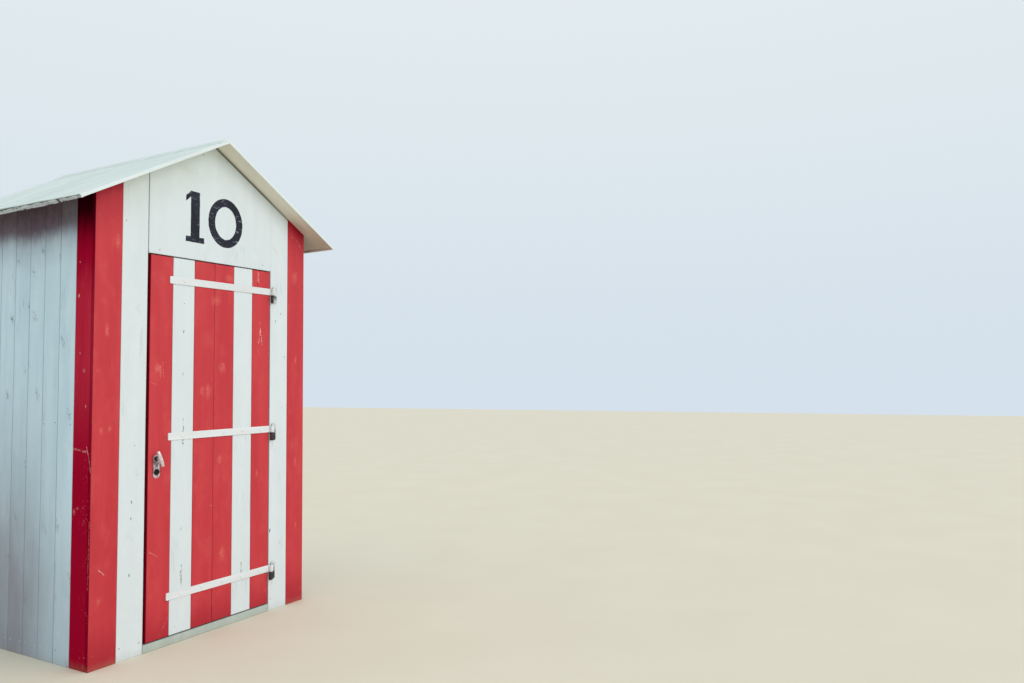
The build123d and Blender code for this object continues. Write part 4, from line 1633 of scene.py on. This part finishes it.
def make_lock():
    low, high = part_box("lock_plates")
    rim_proud = DOOR_LOW.y - PLATE - low.y
    outward = rotation(90, "X")
    face = DOOR_LOW.y - PLATE
    screws = []
    for turn, at in ((outward, face), (outward.inverted(), DOOR_BACK + PLATE)):
        for height in (low.z + LOCK_SCREW_INSET, high.z - LOCK_SCREW_INSET):
            screws.append(mark(put(screw_head(LOCK_SCREW_RADIUS), (SPINDLE.x, at, height), turn)))
    plates = [long_plate(True), long_plate(False)]
    fit("lock_plate_pair", plates, plate_metal, "door", "plate_metal", "lock_plates")
    fit("lock_screws", screws, plate_metal, "door", "plate_metal")
    rim = mark(put(disc(LOCK_RADIUS, rim_proud, vertices=40), (SPINDLE.x, face, SPINDLE.z), outward))
    fit("spindle_rim", [rim], key_metal, "door", "plate_metal")
    low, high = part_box("lock_cylinder")
    key_z = (low.z + high.z) / 2
    cover = put(rosette((high.x - low.x) / 2, face - low.y, 0.001), (SPINDLE.x, face, key_z), outward)
    inner_end = high.y - DOOR_BACK - PLATE
    inner_face = (SPINDLE.x, DOOR_BACK + PLATE, key_z)
    end = put(disc(LOCK_RADIUS, inner_end, vertices=40), inner_face, outward.inverted())
    fit("key_rosette", [mark(cover), mark(end)], key_metal, "door", "key_metal", "lock_cylinder")


def hand_grip():
    """An oval bar along Z, thickest in its middle, with rounded ends."""
    bpy.ops.mesh.primitive_cylinder_add(vertices=32, radius=GRIP_END_RADIUS, depth=GRIP_LENGTH)
    obj = bpy.context.object
    open_mesh(obj)
    bevel_edges(obj, lambda e: not spans(e, 2, 0.01), GRIP_END_ROUND, 4)
    split_edges(obj, lambda e: spans(e, 2, 0.05), 14)
    close_mesh()
    for vert in obj.data.vertices:
        share = min(1.0, abs(vert.co.z) / (GRIP_LENGTH / 2 - GRIP_END_ROUND))
        swell = 1 + (GRIP_RADIUS / GRIP_END_RADIUS - 1) * (1 - share ** 2)
        vert.co.x *= swell * GRIP_OVAL
        vert.co.y *= swell
    return obj


def make_handle():
    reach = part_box("handle")
    tilt = rotation(GRIP_TILT, "Y")
    bright, dark = [], []
    for side, face, end in ((1, DOOR_LOW.y, reach[0].y), (-1, DOOR_BACK, reach[1].y)):
        bar_y = end + side * GRIP_RADIUS
        turn = rotation(90 * side, "X")
        hub = disc(HUB_RADIUS, HUB, vertices=36, ease=0.0012)
        collar = disc(COLLAR_RADIUS, COLLAR, vertices=32, ease=0.0015)
        stem = disc(STEM_RADIUS, abs(bar_y - face), vertices=28, ease=0.0005)
        for part, kept in ((hub, dark), (collar, dark), (stem, bright)):
            kept.append(mark(put(part, (SPINDLE.x, face, SPINDLE.z), turn)))
        bright.append(mark(put(hand_grip(), (SPINDLE.x, bar_y, SPINDLE.z), tilt)))
    fit("turning_handle", bright, handle_metal, "handle", "handle_metal", "handle")
    fit("handle_hubs", dark, hub_metal, "handle", "handle_metal")


# Nails and the number


def nails(places, name, finish, turn):
    """Nail heads a hair proud of a wall that faces the front, turned by so many degrees."""
    model = disc(NAIL_RADIUS, NAIL_THICKNESS, vertices=10, ease=0.0004)
    turned = rotation(turn, "Z") @ rotation(90, "X")
    heads = []
    for place in places:
        stray = Vector([luck.uniform(-NAIL_STRAY, NAIL_STRAY) for _ in range(3)])
        stray[0 if turn in (-90, 90) else 1] = 0
        sunk = turned @ Vector((0, 0, -NAIL_SUNK))
        heads.append(mark(put(twin(model), Vector(place) + stray + sunk, turned)))
    remove(model)
    return fit(name, heads, finish, "hut", "pintle_iron")


def make_nails():
    reds, whites = [], []
    for node in ("red_board_left", "white_board_left", "white_board_right", "red_board_right"):
        low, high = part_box(node)
        kept = reds if node.startswith("red") else whites
        for z in (*NAIL_LEVELS, STRIPE_NAIL_TOP):
            kept += [(x, FRONT, z) for x in (low.x + NAIL_INSET, high.x - NAIL_INSET)]
    panel_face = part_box("gable_panel")[0].y
    for x in PANEL_NAILS_ACROSS:
        for z in PANEL_NAILS_UP:
            if z < RIDGE - SLOPE * abs(x) - 0.03:
                whites.append((x, panel_face, z))
    nails(reds, "red_nails", red_nail, 0)
    nails(whites, "white_nails", white_nail, 0)
    low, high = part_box("left_wall")
    edge = low.y
    spots = []
    while edge < high.y - 0.05:
        end = min(edge + SIDE_COVER, high.y)
        for z in (*NAIL_LEVELS, SIDE_NAIL_TOP):
            spots += [(y, z) for y in (edge + NAIL_INSET, end - NAIL_INSET)]
        edge = end
    nails([(LEFT, y, z) for y, z in spots], "left_nails", blue_nail, -90)
    nails([(RIGHT, y, z) for y, z in spots], "right_nails", blue_nail, 90)
    rear = []
    for i in range(10):
        for x in (NAIL_INSET, REAR_COVER - NAIL_INSET):
            rear += [(LEFT + REAR_COVER * i + x, REAR, z) for z in (*NAIL_LEVELS, REAR_NAIL_TOP)]
    nails(rear, "rear_nails", blue_nail, 180)


def extrude_edges(obj, test, run):
    open_mesh(obj)
    pick(obj, "EDGE", test)
    draw_out(run)
    close_mesh()


def numeral_one(left, right, foot, head, stroke):
    """A plain figure one with a foot and a flag, as a flat sheet facing the front."""
    middle = (left + right) / 2
    x0, x1 = middle - stroke / 2, middle + stroke / 2
    bpy.ops.mesh.primitive_plane_add(size=1, rotation=(radians(90), 0, 0))
    obj = sized((stroke, head - foot, 1), (middle, 0, (foot + head) / 2))
    for height in (foot + NUMBER_SERIF, head - NUMBER_SERIF):
        cut(obj, (0, 0, height), (0, 0, 1))
    foot_top = foot + NUMBER_SERIF + 0.001
    flag_foot = head - NUMBER_SERIF - 0.001

    def every(test):
        return lambda edge: all(test(vert.co) for vert in edge.verts)

    flag = (left - x0, 0, -NUMBER_SERIF)
    extrude_edges(obj, every(lambda co: co.x < x0 + 0.001 and co.z < foot_top), (left - x0, 0, 0))
    extrude_edges(obj, every(lambda co: co.x > x1 - 0.001 and co.z < foot_top), (right - x1, 0, 0))
    extrude_edges(obj, every(lambda co: co.x < x0 + 0.001 and co.z > flag_foot), flag)
    return obj


def numeral_ring(left, right, foot, head, stroke):
    """A plain oval nought, as a flat sheet facing the front."""
    bpy.ops.mesh.primitive_circle_add(vertices=72, radius=1, fill_type="NGON", rotation=(radians(90), 0, 0))
    obj = sized(((right - left) / 2, (head - foot) / 2, 1), ((left + right) / 2, 0, (foot + head) / 2))
    open_mesh(obj)
    bpy.ops.mesh.inset(thickness=stroke)
    bpy.ops.mesh.delete(type="FACE")
    close_mesh()
    return obj


def make_number():
    """The hut's number in plain figures, painted on the gable panel by hand."""
    panel_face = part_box("gable_panel")[0].y
    pieces = []
    for obj in (
        numeral_one(*ONE_SPAN, NUMBER_FOOT, NUMBER_HEAD, ONE_STROKE),
        numeral_ring(*NOUGHT_SPAN, NUMBER_FOOT, NUMBER_HEAD, NOUGHT_STROKE),
    ):
        open_mesh(obj)
        split_edges(obj, lambda e: len(e.link_faces) == 1 and e.calc_length() > 0.02, 9)
        close_mesh()
        for vert in obj.data.vertices:
            shake = Vector((vert.co.x * 60, 3, vert.co.z * 60))
            vert.co.x += NUMBER_SHAKE * ripple(shake)
            vert.co.z += NUMBER_SHAKE * ripple(shake + Vector((9, 0, 0)))
        obj.data.transform(Matrix.Translation((0, panel_face, 0)))
        apply_modifier(obj, "SOLIDIFY", thickness=PAINT_FILM, offset=0.0)
        pieces.append(mark(obj))
    fit("painted_number", pieces, numeral_paint, "hut", "white_paint")


# Light and camera


def make_stage():
    bpy.ops.mesh.primitive_plane_add(size=60)
    floor = bpy.context.object
    floor.name = "floor"
    n = Finish("pale_floor")
    cloud = n.noise(n.place, 1.5, 3.0)
    colour = n.blend(cloud, paint(226, 216, 196), paint(234, 225, 206))
    floor.data.materials.append(n.close(colour, n.ramp(cloud, 0.85, 0.95), cloud, depth=0.0002))


def make_light():
    """A pale sky, brighter overhead, and a broad soft key light from the front right."""
    world = bpy.data.worlds.new("pale_sky")
    bpy.context.scene.world = world
    world.use_nodes = True
    world.node_tree.nodes.clear()
    n = Nodes(world.node_tree)
    up = n.split(n.add("TexCoord").outputs["Generated"])[2]
    colour = n.blend(n.between(up, -0.1, 0.7), HORIZON, OVERHEAD)
    sky = n.add("Background", {"Color": colour, "Strength": SKY_STRENGTH})
    n.add("OutputWorld", {"Surface": sky.outputs[0]})
    bpy.ops.object.light_add(type="SUN", rotation=(radians(KEY_TILT), 0, radians(KEY_TURN)))
    key = bpy.context.object.data
    key.energy = KEY_STRENGTH
    key.angle = radians(KEY_SPREAD)
    key.color = KEY_COLOUR
    bpy.context.scene.view_settings.view_transform = "Standard"


def make_camera():
    lens = bpy.data.cameras.new("camera")
    lens.lens = CAMERA_LENS
    lens.sensor_width = 36
    camera = bpy.data.objects.new("camera", lens)
    bpy.context.collection.objects.link(camera)
    turn = Euler((radians(90 + CAMERA_PITCH), 0, -radians(CAMERA_YAW))).to_matrix().to_4x4()
    camera.matrix_world = (
        Matrix.Translation(CAMERA_PLACE) @ turn @ rotation(CAMERA_ROLL, "Z")
    )
    bpy.context.scene.camera = camera


make_walls()
make_front()
make_door_boards()
make_timbers()
make_roof()
make_hinges()
make_lock()
make_handle()
make_nails()
make_number()
make_stage()
make_light()
make_camera()
